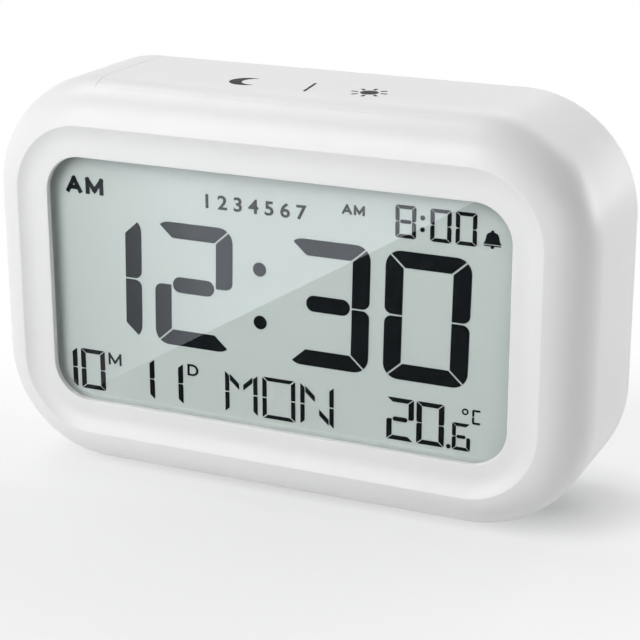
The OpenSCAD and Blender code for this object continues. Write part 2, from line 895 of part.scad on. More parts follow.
// Bracket under the snooze key: two ears on the housing's bosses and a shelf with two guide bores
module snooze_bracket() {
    ear_w = bracket_boss_r + bracket_rim;
    ear_h = bracket_boss_r + shelf_drop + shelf_t;
    color("whitesmoke") lift() difference() {
        union() {
            pair(bracket_x, bracket_z) plate(bracket_y, bracket_y + bracket_t)
                translate([-ear_w, bracket_boss_r - ear_h]) square([2 * ear_w, ear_h]);
            translate([-bracket_x - ear_w, bracket_y, shelf_top - shelf_t])
                cube([2 * bracket_x + 2 * ear_w, shelf_end_y - bracket_y, shelf_t]);
        }
        pair(bracket_x, bracket_z) bar(hole_r, bracket_y - cut, bracket_y + bracket_t + cut);
        pair(post_x, shelf_top - shelf_t - cut) translate([0, post_y, 0])
            cylinder(r = post_d / 2 + running, h = shelf_t + 2 * cut);
    }
}

// Screws of the bracket
module bracket_screws() {
    color("silver") lift() pair(bracket_x, bracket_z) screw(bracket_y + bracket_t, board_screw_l);
}

// Small board on the bracket's shelf
module snooze_board() {
    color("darkgreen") lift() translate([-small_board_w / 2, post_y - small_board_l / 2, shelf_top])
        cube([small_board_w, small_board_l, small_board_t]);
}

// Push switch under the snooze key
module snooze_switch() {
    color("dimgray") lift() translate([0, post_y, snooze_switch_z]) switch_body(snooze_travel);
}

// Stem of that switch
module snooze_stem() {
    color("ivory") lift() translate([0, post_y, snooze_switch_z]) switch_stem();
}

// Leads of the snooze switch, over the front of the shelf and down to the main board
module snooze_wires() {
    top = snooze_switch_z;
    front = board_back_y + lead_gap;
    mid = shelf_top - shelf_t / 2;
    low = shelf_top - lead_drop;
    color("orange") lift() for (side = [-1, 1]) {
        x = side * lead_x;
        tube(concat(
            curve([[x, post_y, top], [x, post_y, top + lead_rise], [x, front, top + lead_rise],
                   [x, front, mid]]),
            curve([[x, front, mid - shelf_t / 2], [x, front, (mid + low) / 2], [x, front, low],
                   [x, board_back_y, low]])
        ), wire_r, 8, [1, 0, 0]);
    }
}

// Springs round the snooze key's posts
module snooze_springs() {
    r = post_d / 2 + spring_room + spring_wire / 2;
    color("silver") lift() pair(post_x, 0) translate([0, post_y, 0])
        tube(coil(r, r, shelf_top + spring_rest, inner_top - spring_rest, spring_turns),
             spring_wire / 2, 6, [0, 0, 1]);
}

// Snooze key: part of the top's skin, with two guide posts and a plunger for the switch
module snooze_key() {
    shoulder = shelf_top - shelf_t - clip_gap;
    color("white") lift() {
        translate([snooze_w / 2, 0, core_h / 2]) rotate([0, -90, 0])
            linear_extrude(snooze_w) snooze_section();
        pair(post_x, shoulder) translate([0, post_y, 0])
            cylinder(d = post_d, h = inner_top - shoulder + wall / 2);
        pair(post_x, shoulder - clip_t - neck_end) translate([0, post_y, 0])
            cylinder(d = post_neck_d, h = clip_t + 2 * neck_end);
        translate([0, post_y, snooze_stem_top])
            cylinder(d = plunger_d, h = inner_top - snooze_stem_top + wall / 2);
    }
}

// Rings on the ends of the posts, which keep the key in
module snooze_clips() {
    low = shelf_top - shelf_t - clip_gap - clip_t;
    color("silver") lift() pair(post_x, low) translate([0, post_y, 0]) difference() {
        cylinder(r = clip_r, h = clip_t);
        translate([0, 0, -cut]) cylinder(d = post_neck_d + clip_gap, h = clip_t + 2 * cut);
    }
}

// Strip with round ends, as for a key or the sunk place round the keys
module pill(w, h) {
    square([w - h, h], center = true);
    for (sx = [-1, 1]) translate([sx * (w - h) / 2, 0]) circle(h / 2);
}

// The five places of the setting keys
module key_places() {
    for (i = [0:4]) translate([(i - 2) * key_pitch, 0, key_z]) children();
}

// Rear cover: the back with its edge, the battery bay, the sunk key strip and the sounder's ring
module rear_cover() {
    color("whitesmoke") lift() difference() {
        union() {
            difference() {
                body_block(0);
                body_block(wall);
                translate([0, -2 * body_d + seam_gap, 0]) behind(seam_y + body_d);
            }
            cover_lip();
            plate(key_pad_y, cover_y + wall / 2) translate([0, key_z])
                pill(strip_w + 2 * wall, strip_h + 2 * wall);
            pair(key_boss_x, key_z) bar(key_boss_r, key_board_y, key_pad_y + wall / 2);
            four(boss_x, cover_screw_z) bar(boss_r, cover_boss_y, cover_y + wall / 2);
            bay_box();
            translate([sounder_x, 0, sounder_z])
                bar(sounder_d / 2, sounder_y + sounder_t, cover_y + wall / 2);
        }
        plate(strip_y, back_y + cut) translate([0, key_z]) pill(strip_w, strip_h);
        key_places() plate(key_pad_y - cut, back_y) pill(key_w + 2 * running, key_h + 2 * running);
        pair(key_boss_x, key_z) bar(pilot_r, key_board_y - cut, key_pad_y);
        four(boss_x, cover_screw_z) bar(hole_r, cover_boss_y - cut, back_y + cut);
        four(boss_x, cover_screw_z) bar(head_r + slip, cover_seat_y, back_y + cut);
        bay_cuts();
        translate([sounder_x, 0, sounder_z]) {
            bar(sounder_d / 2 - sounder_ring_w, sounder_y, cover_y);
            bar(hole_d / 2, sounder_y, back_y + cut);
            for (a = [0:60:300]) translate([hole_pitch * cos(a), 0, hole_pitch * sin(a)])
                bar(hole_d / 2, sounder_y, back_y + cut);
        }
    }
}

// Lip of the cover inside the housing, open at the top where the snooze key moves
module cover_lip() {
    difference() {
        sweep_round(core_w, core_h) translate([lip_r - lip_t, seam_y - lip_l])
            square([lip_t, lip_l + lip_root]);
        translate([-snooze_w / 2 - lip_t, seam_y - body_d + seam_gap, 0])
            cube([snooze_w + 2 * lip_t, body_d, body_h]);
    }
}

// Walls of the battery bay, with a thicker rim round the door
module bay_box() {
    plate(bay_floor_y - bay_wall, cover_y + wall / 2) translate([0, bay_z])
        square([bay_l + 2 * bay_wall, bay_h + 2 * bay_wall], center = true);
    plate(flange_in_y, cover_y + wall / 2) translate([-rim_w / 2, rim_low])
        square([rim_w, rim_high - rim_low]);
}

// What the bay leaves open: the cells' room, the door with its hinge and tongue, a scoop and wire holes
module bay_cuts() {
    door_gap_w = door_w + 2 * slip;
    plate(bay_floor_y, back_y + cut) translate([0, bay_z]) square([bay_l, bay_h], center = true);
    plate(door_in_y - slip, back_y + cut) translate([-door_gap_w / 2, door_low - slip])
        square([door_gap_w, hinge_z + knuckle_r + 2 * slip - door_low]);
    plate(hinge_y - knuckle_r - slip, back_y + cut) translate([-door_gap_w / 2, hinge_z - knuckle_r - slip])
        square([door_gap_w, 2 * knuckle_r + 2 * slip]);
    translate([-door_gap_w / 2 - hinge_pin_l - slip, hinge_y, hinge_z]) rotate([0, 90, 0])
        cylinder(r = hinge_bore_r, h = door_gap_w + 2 * hinge_pin_l + 2 * slip);
    plate(door_in_y - tongue_l - 2 * slip, back_y + cut) translate([-tongue_w / 2 - slip, door_low - slip])
        square([tongue_w + 2 * slip, tongue_t + 3 * slip]);
    translate([0, back_y + scoop_r - scoop_d, door_low - scoop_low]) sphere(r = scoop_r);
    for (sx = [-1, 1]) translate([sx * bay_l / 2, cell_y, bay_z + sx * cell_pitch]) rotate([0, sx * 90, 0])
        translate([0, 0, -cut]) cylinder(r = wire_r + wire_hole_gap, h = bay_wall + 2 * cut);
}

// Board behind the setting keys
module key_board() {
    color("darkgreen") lift() plate(key_board_y - board_t, key_board_y) translate([0, key_z]) difference() {
        square([key_board_w, key_board_h], center = true);
        for (sx = [-1, 1]) translate([sx * key_boss_x, 0]) circle(hole_r);
    }
}

// Push switches behind the setting keys
module key_switches() {
    color("dimgray") lift() key_places() translate([0, key_board_y, 0]) rotate([-90, 0, 0])
        switch_body(key_travel);
}

// Flat ribbon between the two boards
module key_ribbon() {
    span = key_board_y - board_t - board_back_y;
    r = (pow(span / 2, 2) + pow(ribbon_sag, 2)) / (2 * ribbon_sag);
    color("lightgray") lift() translate([-ribbon_w / 2, 0, 0]) rotate([90, 0, 90]) linear_extrude(ribbon_w)
        intersection() {
            translate([board_back_y + span / 2, ribbon_z + r - ribbon_sag]) difference() {
                circle(r + ribbon_t / 2);
                circle(r - ribbon_t / 2);
            }
            translate([board_back_y, ribbon_z - 2 * ribbon_sag]) square([span, 2 * ribbon_sag + ribbon_t]);
        }
}

// Screws of the key board, put in from the front
module key_board_screws() {
    seat = key_board_y - board_t;
    color("silver") lift() pair(key_boss_x, key_z) translate([0, 2 * seat, 0]) mirror([0, 1, 0])
        screw(seat, key_screw_l);
}

// Setting key i: cap, flange and plunger
module setting_key(i) {
    color("gainsboro") lift() translate([(i - 2) * key_pitch, 0, key_z]) {
        plate(flange_y, strip_y + key_proud) pill(key_w, key_h);
        plate(flange_y, flange_y + flange_t) pill(key_w + 2 * flange_lip, key_h + 2 * flange_lip);
        bar(key_plunger_r, key_stem_y, flange_y + flange_t / 2);
    }
}

// Stem of the switch behind setting key i
module setting_stem(i) {
    color("ivory") lift() translate([(i - 2) * key_pitch, key_board_y, key_z]) rotate([-90, 0, 0])
        switch_stem();
}

// Brass disc of the sounder, on its ring in the cover
module sounder_disc() {
    color("goldenrod") lift() translate([sounder_x, 0, sounder_z])
        bar(sounder_d / 2, sounder_y, sounder_y + sounder_t);
}

// Ceramic on the brass disc
module sounder_ceramic() {
    color("ivory") lift() translate([sounder_x, 0, sounder_z])
        bar(ceramic_d / 2, sounder_y - ceramic_t, sounder_y);
}

// Leads of the sounder
module sounder_wires() {
    on_ceramic = [ceramic_d / 2 - lead_in, sounder_y - ceramic_t, wire_side];
    on_disc = [ceramic_d / 2 + lead_in, sounder_y, -wire_side];
    color("firebrick") lift() for (lead = [on_ceramic, on_disc]) {
        x = sounder_x - lead[0];
        tube(curve([
            [x, lead[1], sounder_z], [x, lead[1] - wire_bend, sounder_z],
            [x + wire_out, board_back_y + wire_back, sounder_z + lead[2]],
            [x + wire_out, board_back_y, sounder_z + lead[2]]
        ]), wire_r, 8, [0, 0, 1]);
    }
}

// Places of the battery ends: cell number, side, and whether the spring is there
cell_ends = [for (i = [0:2], side = [-1, 1]) [i, side, side == (i % 2 == 0 ? -1 : 1)]];

// Height of a battery in the bay
function cell_z(i) = bay_z + (1 - i) * cell_pitch;

// Contact plates: two long ones join neighbouring cells, two short ones carry the leads
module battery_contacts() {
    w = cell_d - 2 * contact_in;
    color("silver") lift() for (side = [-1, 1]) translate([side * (bay_l - contact_t) / 2, cell_y, bay_z]) {
        translate([0, 0, side * cell_pitch]) cube([contact_t, w, w], center = true);
        translate([0, 0, -side * cell_pitch / 2]) cube([contact_t, w, w + cell_pitch], center = true);
    }
}

// Cone springs on the contact plates
module battery_springs() {
    color("silver") lift() for (end = cell_ends) if (end[2])
        translate([end[1] * (bay_l / 2 - contact_t), cell_y, cell_z(end[0])]) rotate([0, -end[1] * 90, 0])
            tube(coil(cone_r, cone_tip_r, spring_rest, cell_spring_l - spring_rest, cone_turns),
                 spring_wire / 2, 6, [0, 0, 1]);
}

// Battery i, with its button away from its spring
module battery(i) {
    turn = i % 2 == 0 ? 1 : -1;
    start = -bay_l / 2 + contact_t + cell_spring_l;
    color("steelblue") lift() translate([0, cell_y, cell_z(i)]) rotate([0, turn * 90, 0])
        translate([0, 0, start]) {
            cylinder(d = cell_d, h = cell_l - nub_l);
            cylinder(d = nub_d, h = cell_l);
        }
}

// Leads from the two ends of the battery row to the main board
module battery_wires() {
    color("firebrick") lift() for (sx = [-1, 1]) {
        x = bay_l / 2;
        z = bay_z + sx * cell_pitch;
        tube(curve([
            [sx * x, cell_y, z], [sx * (x + wire_bend), cell_y, z],
            [sx * (x + wire_out), board_back_y + wire_back, z - sx * wire_side],
            [sx * (x + wire_out), board_back_y, z - sx * wire_side]
        ]), wire_r, 8, [0, 0, 1]);
    }
}

// Battery door: plate with a round knuckle along its top, two pins, a tongue and grip lines
module battery_door() {
    color("white") lift() difference() {
        union() {
            plate(door_in_y, back_y) translate([-door_w / 2, door_low])
                square([door_w, hinge_z - door_low]);
            translate([-door_w / 2, hinge_y, hinge_z]) rotate([0, 90, 0])
                cylinder(r = knuckle_r, h = door_w);
            translate([-door_w / 2 - hinge_pin_l, hinge_y, hinge_z]) rotate([0, 90, 0])
                cylinder(r = hinge_pin_r, h = door_w + 2 * hinge_pin_l);
            plate(door_in_y - tongue_l, door_in_y + door_t / 2) translate([-tongue_w / 2, door_low + slip])
                square([tongue_w, tongue_t]);
        }
        for (i = [0:2]) translate([(i * grip_pitch - grip_l) / 2, 0, door_low + grip_z + grip_pitch * i])
            translate([0, back_y + grip_r - grip_d, 0]) rotate([0, 90, 0])
                cylinder(r = grip_r, h = grip_l - i * grip_pitch);
    }
}

// Screws of the rear cover
module cover_screws() {
    color("silver") lift() four(boss_x, cover_screw_z) screw(cover_seat_y, cover_screw_l);
}

front_housing();
feet();
display_lens();
display_gasket();
lcd_cell();
lcd_segments();
light_guide();
light_reflector();
backlight_leds();
display_frame();
zebra_strips();
main_board();
clock_chip();
quartz_crystal();
board_parts();
temperature_sensor();
board_screws();
snooze_bracket();
bracket_screws();
snooze_board();
snooze_switch();
snooze_wires();
snooze_springs();
snooze_key();
snooze_stem();
snooze_clips();
rear_cover();
key_board();
key_switches();
key_ribbon();
key_board_screws();
setting_key(0);  // mode_key
setting_key(1);  // set_key
setting_key(2);  // up_key
setting_key(3);  // down_key
setting_key(4);  // alarm_key
setting_stem(0);  // mode_stem
setting_stem(1);  // set_stem
setting_stem(2);  // up_stem
setting_stem(3);  // down_stem
setting_stem(4);  // alarm_stem
sounder_disc();
sounder_ceramic();
sounder_wires();
battery_contacts();
battery_springs();
battery(0);  // battery_1
battery(1);  // battery_2
battery(2);  // battery_3
battery_wires();
battery_door();
cover_screws();
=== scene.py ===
import math

import bmesh
import bpy
from mathutils import Matrix, Vector


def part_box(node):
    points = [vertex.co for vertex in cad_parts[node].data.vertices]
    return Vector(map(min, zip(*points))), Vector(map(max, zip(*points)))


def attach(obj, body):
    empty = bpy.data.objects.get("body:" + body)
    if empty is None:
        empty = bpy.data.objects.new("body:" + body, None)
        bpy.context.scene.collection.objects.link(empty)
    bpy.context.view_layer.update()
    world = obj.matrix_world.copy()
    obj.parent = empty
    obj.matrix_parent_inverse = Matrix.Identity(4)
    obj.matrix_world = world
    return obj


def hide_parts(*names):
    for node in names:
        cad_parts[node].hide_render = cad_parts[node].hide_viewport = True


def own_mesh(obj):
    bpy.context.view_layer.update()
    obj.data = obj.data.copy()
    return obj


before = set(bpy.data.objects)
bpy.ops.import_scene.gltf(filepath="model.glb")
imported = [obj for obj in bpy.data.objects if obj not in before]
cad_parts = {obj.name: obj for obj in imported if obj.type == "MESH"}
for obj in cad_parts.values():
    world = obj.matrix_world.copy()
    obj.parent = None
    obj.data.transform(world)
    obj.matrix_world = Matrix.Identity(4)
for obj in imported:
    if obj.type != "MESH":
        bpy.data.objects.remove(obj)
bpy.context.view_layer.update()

# ---- Front housing -------------------------------------------------------------------------------
# One white shell moulded in plastic: the soft front edge, the dished frame round the window, the
# top, the sides and the bottom. It is open at the back, and at the top where the snooze key sits.
MM = 0.001
housing_low, housing_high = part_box("front_housing")
half_w = housing_high.x
bottom_z, top_z = housing_low.z, housing_high.z
mid_z = (bottom_z + top_z) / 2
crest_y, seam_y = housing_low.y, housing_high.y
back_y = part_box("rear_cover")[1].y
corner_r = 25.2 * MM
front_r = 12 * MM
back_r = 8 * MM
wall = 2.2 * MM
crest_in = 9 * MM
crest_soft = 0.15 * MM
window_in = 16.05 * MM
window_side = 15.3 * MM
window_r = 8.2 * MM
window_edge = 0.25 * MM
dish_depth = 1.25 * MM
dish_flat = 2.4 * MM
dish_steps = 20
lens_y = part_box("display_lens")[0].y
seat_w = 2.8 * MM
inside_turn = math.radians(50)
turn_step = math.radians(2.5)
corner_steps = 40
straight = 0.99
hair = 1e-6


def select_only(*pieces):
    """Leaves just these objects selected, the last of them active."""
    bpy.ops.object.select_all(action="DESELECT")
    for piece in pieces:
        piece.select_set(True)
        bpy.context.view_layer.objects.active = piece


def named(name):
    """Names the object that was just added, and puts its place and size into its mesh."""
    piece = bpy.context.object
    piece.name = piece.data.name = name
    bpy.ops.object.transform_apply(location=True, rotation=True, scale=True)
    return piece


def block(name, low, high):
    """Adds a cube between two corners."""
    bpy.ops.object.select_all(action="DESELECT")
    low, high = Vector(low), Vector(high)
    bpy.ops.mesh.primitive_cube_add(size=1, location=(low + high) / 2, scale=high - low)
    return named(name)


def pick(piece, kind, test):
    """Selects, in edit mode, the vertices, edges or faces of a piece that pass a test."""
    bpy.ops.mesh.select_mode(type=kind)
    bpy.ops.mesh.select_all(action="DESELECT")
    mesh = bmesh.from_edit_mesh(piece.data)
    for part in {"VERT": mesh.verts, "EDGE": mesh.edges, "FACE": mesh.faces}[kind]:
        if test(part):
            part.select_set(True)
    mesh.select_flush_mode()
    bmesh.update_edit_mesh(piece.data)


def runs_deep(edge):
    """True for an edge that runs along the depth."""
    return abs((edge.verts[0].co - edge.verts[1].co).normalized().y) > straight


def arc(r, start, end, step):
    """Points of an arc as (distance in, distance out along the face), from its start angle."""
    count = max(1, math.ceil(abs(end - start) / step - hair))
    angles = [start + (end - start) * i / count for i in range(count + 1)]
    return [(r * (1 - math.cos(a)), r * math.sin(a)) for a in angles]


def front_ring(inset):
    """Distance in at the sides, and corner radius, of a ring between the outside and the window."""
    share = inset / window_in
    return window_side * share, corner_r + (window_r - corner_r) * share


def back_ring(inset):
    """The same for a ring that stays even with the outside."""
    return inset, corner_r - inset


def follow(piece, outline, facing, ring):
    """Takes the selected face of a piece along an outline of (distance in, distance out), ring by
    ring. Facing is the direction of the face along the depth."""
    half_h = (top_z - bottom_z) / 2
    from_x, from_z = half_w - corner_r, half_h - corner_r
    for (in_0, out_0), (in_1, out_1) in zip(outline, outline[1:]):
        if in_1 - in_0 < hair:
            move = {"value": (0, facing * (out_1 - out_0), 0)}
            bpy.ops.mesh.extrude_region_move(TRANSFORM_OT_translate=move)
            continue
        bpy.ops.mesh.inset(thickness=in_1 - in_0, depth=out_1 - out_0, use_even_offset=True)
        side_in, r = ring(in_1)
        to_x, to_z = half_w - side_in - r, half_h - in_1 - r
        mesh = bmesh.from_edit_mesh(piece.data)
        for vertex in next(face for face in mesh.faces if face.select).verts:
            x, z = vertex.co.x, vertex.co.z - mid_z
            turn = math.atan2(max(0, abs(z) - from_z), max(0, abs(x) - from_x))
            vertex.co.x = math.copysign(to_x + r * math.cos(turn), x)
            vertex.co.z = mid_z + math.copysign(to_z + r * math.sin(turn), z)
        bmesh.update_edit_mesh(piece.data)
        from_x, from_z = to_x, to_z


def soften(start, corner, end, count=6):
    """Points of a small curve that takes the place of a sharp corner."""
    points = []
    for i in range(count + 1):
        t = i / count
        points.append(tuple((1 - t) ** 2 * a + 2 * t * (1 - t) * b + t * t * c
                            for a, b, c in zip(start, corner, end)))
    return points


arc_y = crest_y + math.sqrt(front_r**2 - (front_r - crest_in) ** 2)
window_y = crest_y + dish_depth
dish_w = window_in - crest_in - dish_flat
dish_r = (dish_w**2 + dish_depth**2) / (2 * dish_depth)
crest_turn = math.acos(1 - crest_in / front_r)
dish_turn = math.asin(dish_w / dish_r)
back_arc_y = back_y - back_r
seam_turn = math.asin((seam_y - back_arc_y) / back_r)

front_edge = arc(front_r, 0, crest_turn - crest_soft / front_r, turn_step)
foot_out = arc_y - window_y
dish_start = dish_turn - crest_soft / dish_r
dish_turns = [dish_start * (1 - i / dish_steps) for i in range(dish_steps + 1)]
dish = [(window_in - dish_flat - dish_r * math.sin(turn), foot_out + dish_r * (1 - math.cos(turn)))
        for turn in dish_turns]
crest = soften(front_edge[-1], (crest_in, arc_y - crest_y), dish[0])
window_rim = soften((window_in - window_edge, foot_out), (window_in, foot_out),
                    (window_in, foot_out - window_edge))
front_outline = front_edge[:-1] + crest + dish[1:] + window_rim + [(window_in, arc_y - lens_y)]

housing = block("housing_shell", (-half_w, arc_y, bottom_z), (half_w, back_arc_y, top_z))
bpy.ops.object.mode_set(mode="EDIT")
pick(housing, "EDGE", runs_deep)
bpy.ops.mesh.bevel(offset=corner_r, segments=corner_steps, profile=0.5, affect="EDGES")
pick(housing, "FACE", lambda f: f.normal.y < -straight)
follow(housing, front_outline, -1, front_ring)
bpy.ops.mesh.delete(type="FACE")

back_edge = arc(back_r, 0, seam_turn, turn_step)
rim_out = back_edge[-1][1]
inner_arc = arc(front_r - wall, 0, inside_turn, turn_step)
inner_edge = [(wall + i, arc_y - back_arc_y - o) for i, o in inner_arc]
seat = [(window_in - seat_w, lens_y - back_arc_y)]
pick(housing, "FACE", lambda f: f.normal.y > straight)
follow(housing, back_edge + [(wall, rim_out)] + inner_edge + seat, 1, back_ring)
bpy.ops.mesh.delete(type="FACE")
pick(housing, "EDGE", lambda e: e.is_boundary)
bpy.ops.mesh.bridge_edge_loops()
bpy.ops.mesh.select_all(action="SELECT")
bpy.ops.mesh.normals_make_consistent(inside=False)
bpy.ops.object.mode_set(mode="OBJECT")


def combine(piece, tool, how):
    """Cuts a tool's shape out of a piece (DIFFERENCE) or adds it (UNION), and removes the tool."""
    select_only(piece)
    bpy.ops.object.modifier_add(type="BOOLEAN")
    change = piece.modifiers[-1]
    change.object, change.operation, change.solver = tool, how, "EXACT"
    bpy.ops.object.modifier_apply(modifier=change.name)
    bpy.data.objects.remove(tool)


def smooth(piece, degrees=30):
    """Shades a piece smooth, with its sharp edges kept."""
    select_only(piece)
    bpy.ops.object.shade_smooth_by_angle(angle=math.radians(degrees))


key_low, key_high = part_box("snooze_key")
key_gap = 0.05 * MM
opening = block("opening", (key_low.x - key_gap, key_low.y - key_gap, top_z - 3 * wall),
                (key_high.x + key_gap, back_y, top_z + wall))
combine(housing, opening, "DIFFERENCE")
smooth(housing)


def new_finish(name):
    """Starts a material, and returns it with its node tree and its Principled surface."""
    material = bpy.data.materials.new(name)
    material.use_nodes = True
    tree = material.node_tree
    return material, tree, tree.nodes["Principled BSDF"]


def add(tree, kind, **values):
    """Adds a node and sets its own values, or its sockets where the name is a socket's."""
    node = tree.nodes.new(kind)
    for key, value in values.items():
        if hasattr(node, key):
            setattr(node, key, value)
        else:
            node.inputs[key.replace("_", " ")].default_value = value
    return node


def speckle(tree, size, detail=3.0):
    """Noise of a real grain size, fixed to the piece."""
    place = add(tree, "ShaderNodeTexCoord")
    noise = add(tree, "ShaderNodeTexNoise", Scale=1 / size, Detail=detail)
    tree.links.new(place.outputs["Object"], noise.inputs["Vector"])
    return noise.outputs["Fac"]


def spread(tree, source, low, high, start=0.3, end=0.7):
    """Turns a value between start and end into one between low and high."""
    node = add(tree, "ShaderNodeMapRange", From_Min=start, From_Max=end, To_Min=low, To_Max=high)
    tree.links.new(source, node.inputs["Value"])
    return node.outputs["Result"]


def tint(tree, factor, colour_0, colour_1):
    """Mixes two colours by a factor."""
    node = add(tree, "ShaderNodeMix", data_type="RGBA")
    node.inputs["A"].default_value = (*colour_0, 1)
    node.inputs["B"].default_value = (*colour_1, 1)
    tree.links.new(factor, node.inputs["Factor"])
    return node.outputs["Result"]


def grained(name, colour, rough, drift=0.03, grain=0.35 * MM, depth=0.01 * MM, metal=0.0):
    """A material with a fine grain in relief, and a slow drift of tone and of gloss."""
    material, tree, surface = new_finish(name)
    slow = speckle(tree, 9 * MM)
    fine = speckle(tree, grain, 2.0)
    dark = [c * (1 - drift) for c in colour]
    tree.links.new(tint(tree, slow, dark, colour), surface.inputs["Base Color"])
    gloss = spread(tree, slow, rough * 0.88, min(1, rough * 1.12))
    tree.links.new(gloss, surface.inputs["Roughness"])
    relief = add(tree, "ShaderNodeBump", Strength=0.6, Distance=depth)
    tree.links.new(fine, relief.inputs["Height"])
    tree.links.new(relief.outputs["Normal"], surface.inputs["Normal"])
    surface.inputs["Metallic"].default_value = metal
    return material


def wear(piece, material):
    """Gives a piece one material."""
    piece.data.materials.clear()
    piece.data.materials.append(material)


def dress(material, *nodes):
    """Gives solids of the construction their material."""
    for node in nodes:
        wear(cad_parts[node], material)


white_shell = grained("white_shell", (0.87, 0.87, 0.868), 0.36, drift=0.015)
wear(housing, white_shell)
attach(housing, "case")
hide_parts("front_housing")

# ---- Feet ----------------------------------------------------------------------------------------
# Four round pads of grey rubber, punched from sheet. Each is glued half sunk into the bottom, and
# keeps the clock from sliding.
foot_rubber = grained("foot_rubber", (0.16, 0.16, 0.165), 0.75, drift=0.15, grain=0.2 * MM,
                      depth=0.03 * MM)
dress(foot_rubber, "feet")

# ---- Lens ----------------------------------------------------------------------------------------
# A flat plate of clear acrylic behind the frame. Light from the lamps passes it, and it mirrors a
# little of what stands in front of the clock.
clear_lens, tree, surface = new_finish("clear_lens")
clear = tint(tree, speckle(tree, 12 * MM), (0.985, 0.99, 0.99), (1, 1, 1))
tree.links.new(clear, surface.inputs["Base Color"])
surface.inputs["Transmission Weight"].default_value = 1
surface.inputs["IOR"].default_value = 1.49
surface.inputs["Roughness"].default_value = 0
through = add(tree, "ShaderNodeBsdfTransparent")
path = add(tree, "ShaderNodeLightPath")
either = add(tree, "ShaderNodeMixShader")
tree.links.new(path.outputs["Is Shadow Ray"], either.inputs["Fac"])
tree.links.new(surface.outputs["BSDF"], either.inputs[1])
tree.links.new(through.outputs["BSDF"], either.inputs[2])
tree.links.new(either.outputs["Shader"], tree.nodes["Material Output"].inputs["Surface"])
dress(clear_lens, "display_lens")

# ---- Gasket --------------------------------------------------------------------------------------
# A ring of soft grey foam, cut from sheet. It lies between the lens and the display glass, and
# keeps dust out.
foam = grained("foam", (0.62, 0.65, 0.64), 0.9, drift=0.2, grain=0.25 * MM, depth=0.08 * MM)
dress(foam, "display_gasket")

# ---- Display glass -------------------------------------------------------------------------------
# Two thin sheets of glass with the liquid crystal between them, under a grey-green polarising film.
# A frame behind them presses them against the gasket.
lcd_glass, tree, surface = new_finish("lcd_glass")
film = tint(tree, speckle(tree, 30 * MM, 1.0), (0.376, 0.422, 0.405), (0.388, 0.436, 0.418))
tree.links.new(film, surface.inputs["Base Color"])
tree.links.new(spread(tree, speckle(tree, 0.15 * MM), 0.5, 0.6), surface.inputs["Roughness"])
surface.inputs["Specular IOR Level"].default_value = 0.2
dress(lcd_glass, "lcd_cell")

# ---- Figures and legends -------------------------------------------------------------------------
# The dark places of the display, where the liquid crystal stops the light: the bars of the figures,
# and small fixed legends between them.
figures_low, figures_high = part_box("lcd_segments")
lcd_figure, tree, surface = new_finish("lcd_figure")
ink = tint(tree, speckle(tree, 2 * MM), (0.0038, 0.005, 0.006), (0.0052, 0.0068, 0.008))
tree.links.new(ink, surface.inputs["Base Color"])
tree.links.new(spread(tree, speckle(tree, 3 * MM), 0.6, 0.75), surface.inputs["Roughness"])
surface.inputs["Specular IOR Level"].default_value = 0.05
dress(lcd_figure, "lcd_segments")


def close(piece):
    """Joins the faces of a piece along their edges, fills what gaps are left, and turns all faces
    outward."""
    select_only(piece)
    bpy.ops.object.mode_set(mode="EDIT")
    bpy.ops.mesh.select_all(action="SELECT")
    bpy.ops.mesh.remove_doubles(threshold=1e-7)
    bpy.ops.mesh.dissolve_degenerate(threshold=1e-8)
    bpy.ops.mesh.fill_holes(sides=0)
    bpy.ops.mesh.select_all(action="SELECT")
    bpy.ops.mesh.normals_make_consistent(inside=False)
    bpy.ops.object.mode_set(mode="OBJECT")


def legend(signs, left, right, top, bottom, weight):
    """Sets letters or numbers into a box on the display, in millimetres from its middle."""
    bpy.ops.object.select_all(action="DESELECT")
    bpy.ops.object.text_add(rotation=(math.pi / 2, 0, 0))
    mark = bpy.context.object
    mark.data.body = signs
    mark.data.offset = weight
    mark.data.extrude = 0.5
    bpy.ops.object.convert(target="MESH")
    mark = named("legend")
    spots = [vertex.co for vertex in mark.data.vertices]
    low = Vector([min(spot[i] for spot in spots) for i in range(3)])
    high = Vector([max(spot[i] for spot in spots) for i in range(3)])
    goal_low = Vector((left * MM, figures_low.y, mid_z + bottom * MM))
    goal_high = Vector((right * MM, figures_high.y, mid_z + top * MM))
    size = [(b - a) / (d - c) for a, b, c, d in zip(goal_low, goal_high, low, high)]
    mark.scale = size
    mark.location = goal_low - Vector([a * b for a, b in zip(low, size)])
    mark = named("legend")
    close(mark)
    return mark


def flat_bar(left, right, top, bottom):
    """Adds a flat bar on the display, in millimetres from its middle."""
    return block("legend", (left * MM, figures_low.y, mid_z + bottom * MM),
                 (right * MM, figures_high.y, mid_z + top * MM))


def drawn(lines, left, right, top, bottom, width):
    """Draws a sign in a box on the display from straight strokes, each between two points of a unit
    square."""
    pieces = []
    half = width / 2
    room_x, room_z = right - left - width, top - bottom - width
    for ends in lines:
        (x_0, z_0), (x_1, z_1) = [(left + half + x * room_x, bottom + half + z * room_z)
                                  for x, z in ends]
        length = math.hypot(x_1 - x_0, z_1 - z_0)
        piece = block("legend", (-half * MM, figures_low.y, -half * MM),
                      ((length + half) * MM, figures_high.y, half * MM))
        piece.rotation_euler.y = -math.atan2(z_1 - z_0, x_1 - x_0)
        piece.location = (x_0 * MM, 0, mid_z + z_0 * MM)
        pieces.append(named("legend"))
    return pieces


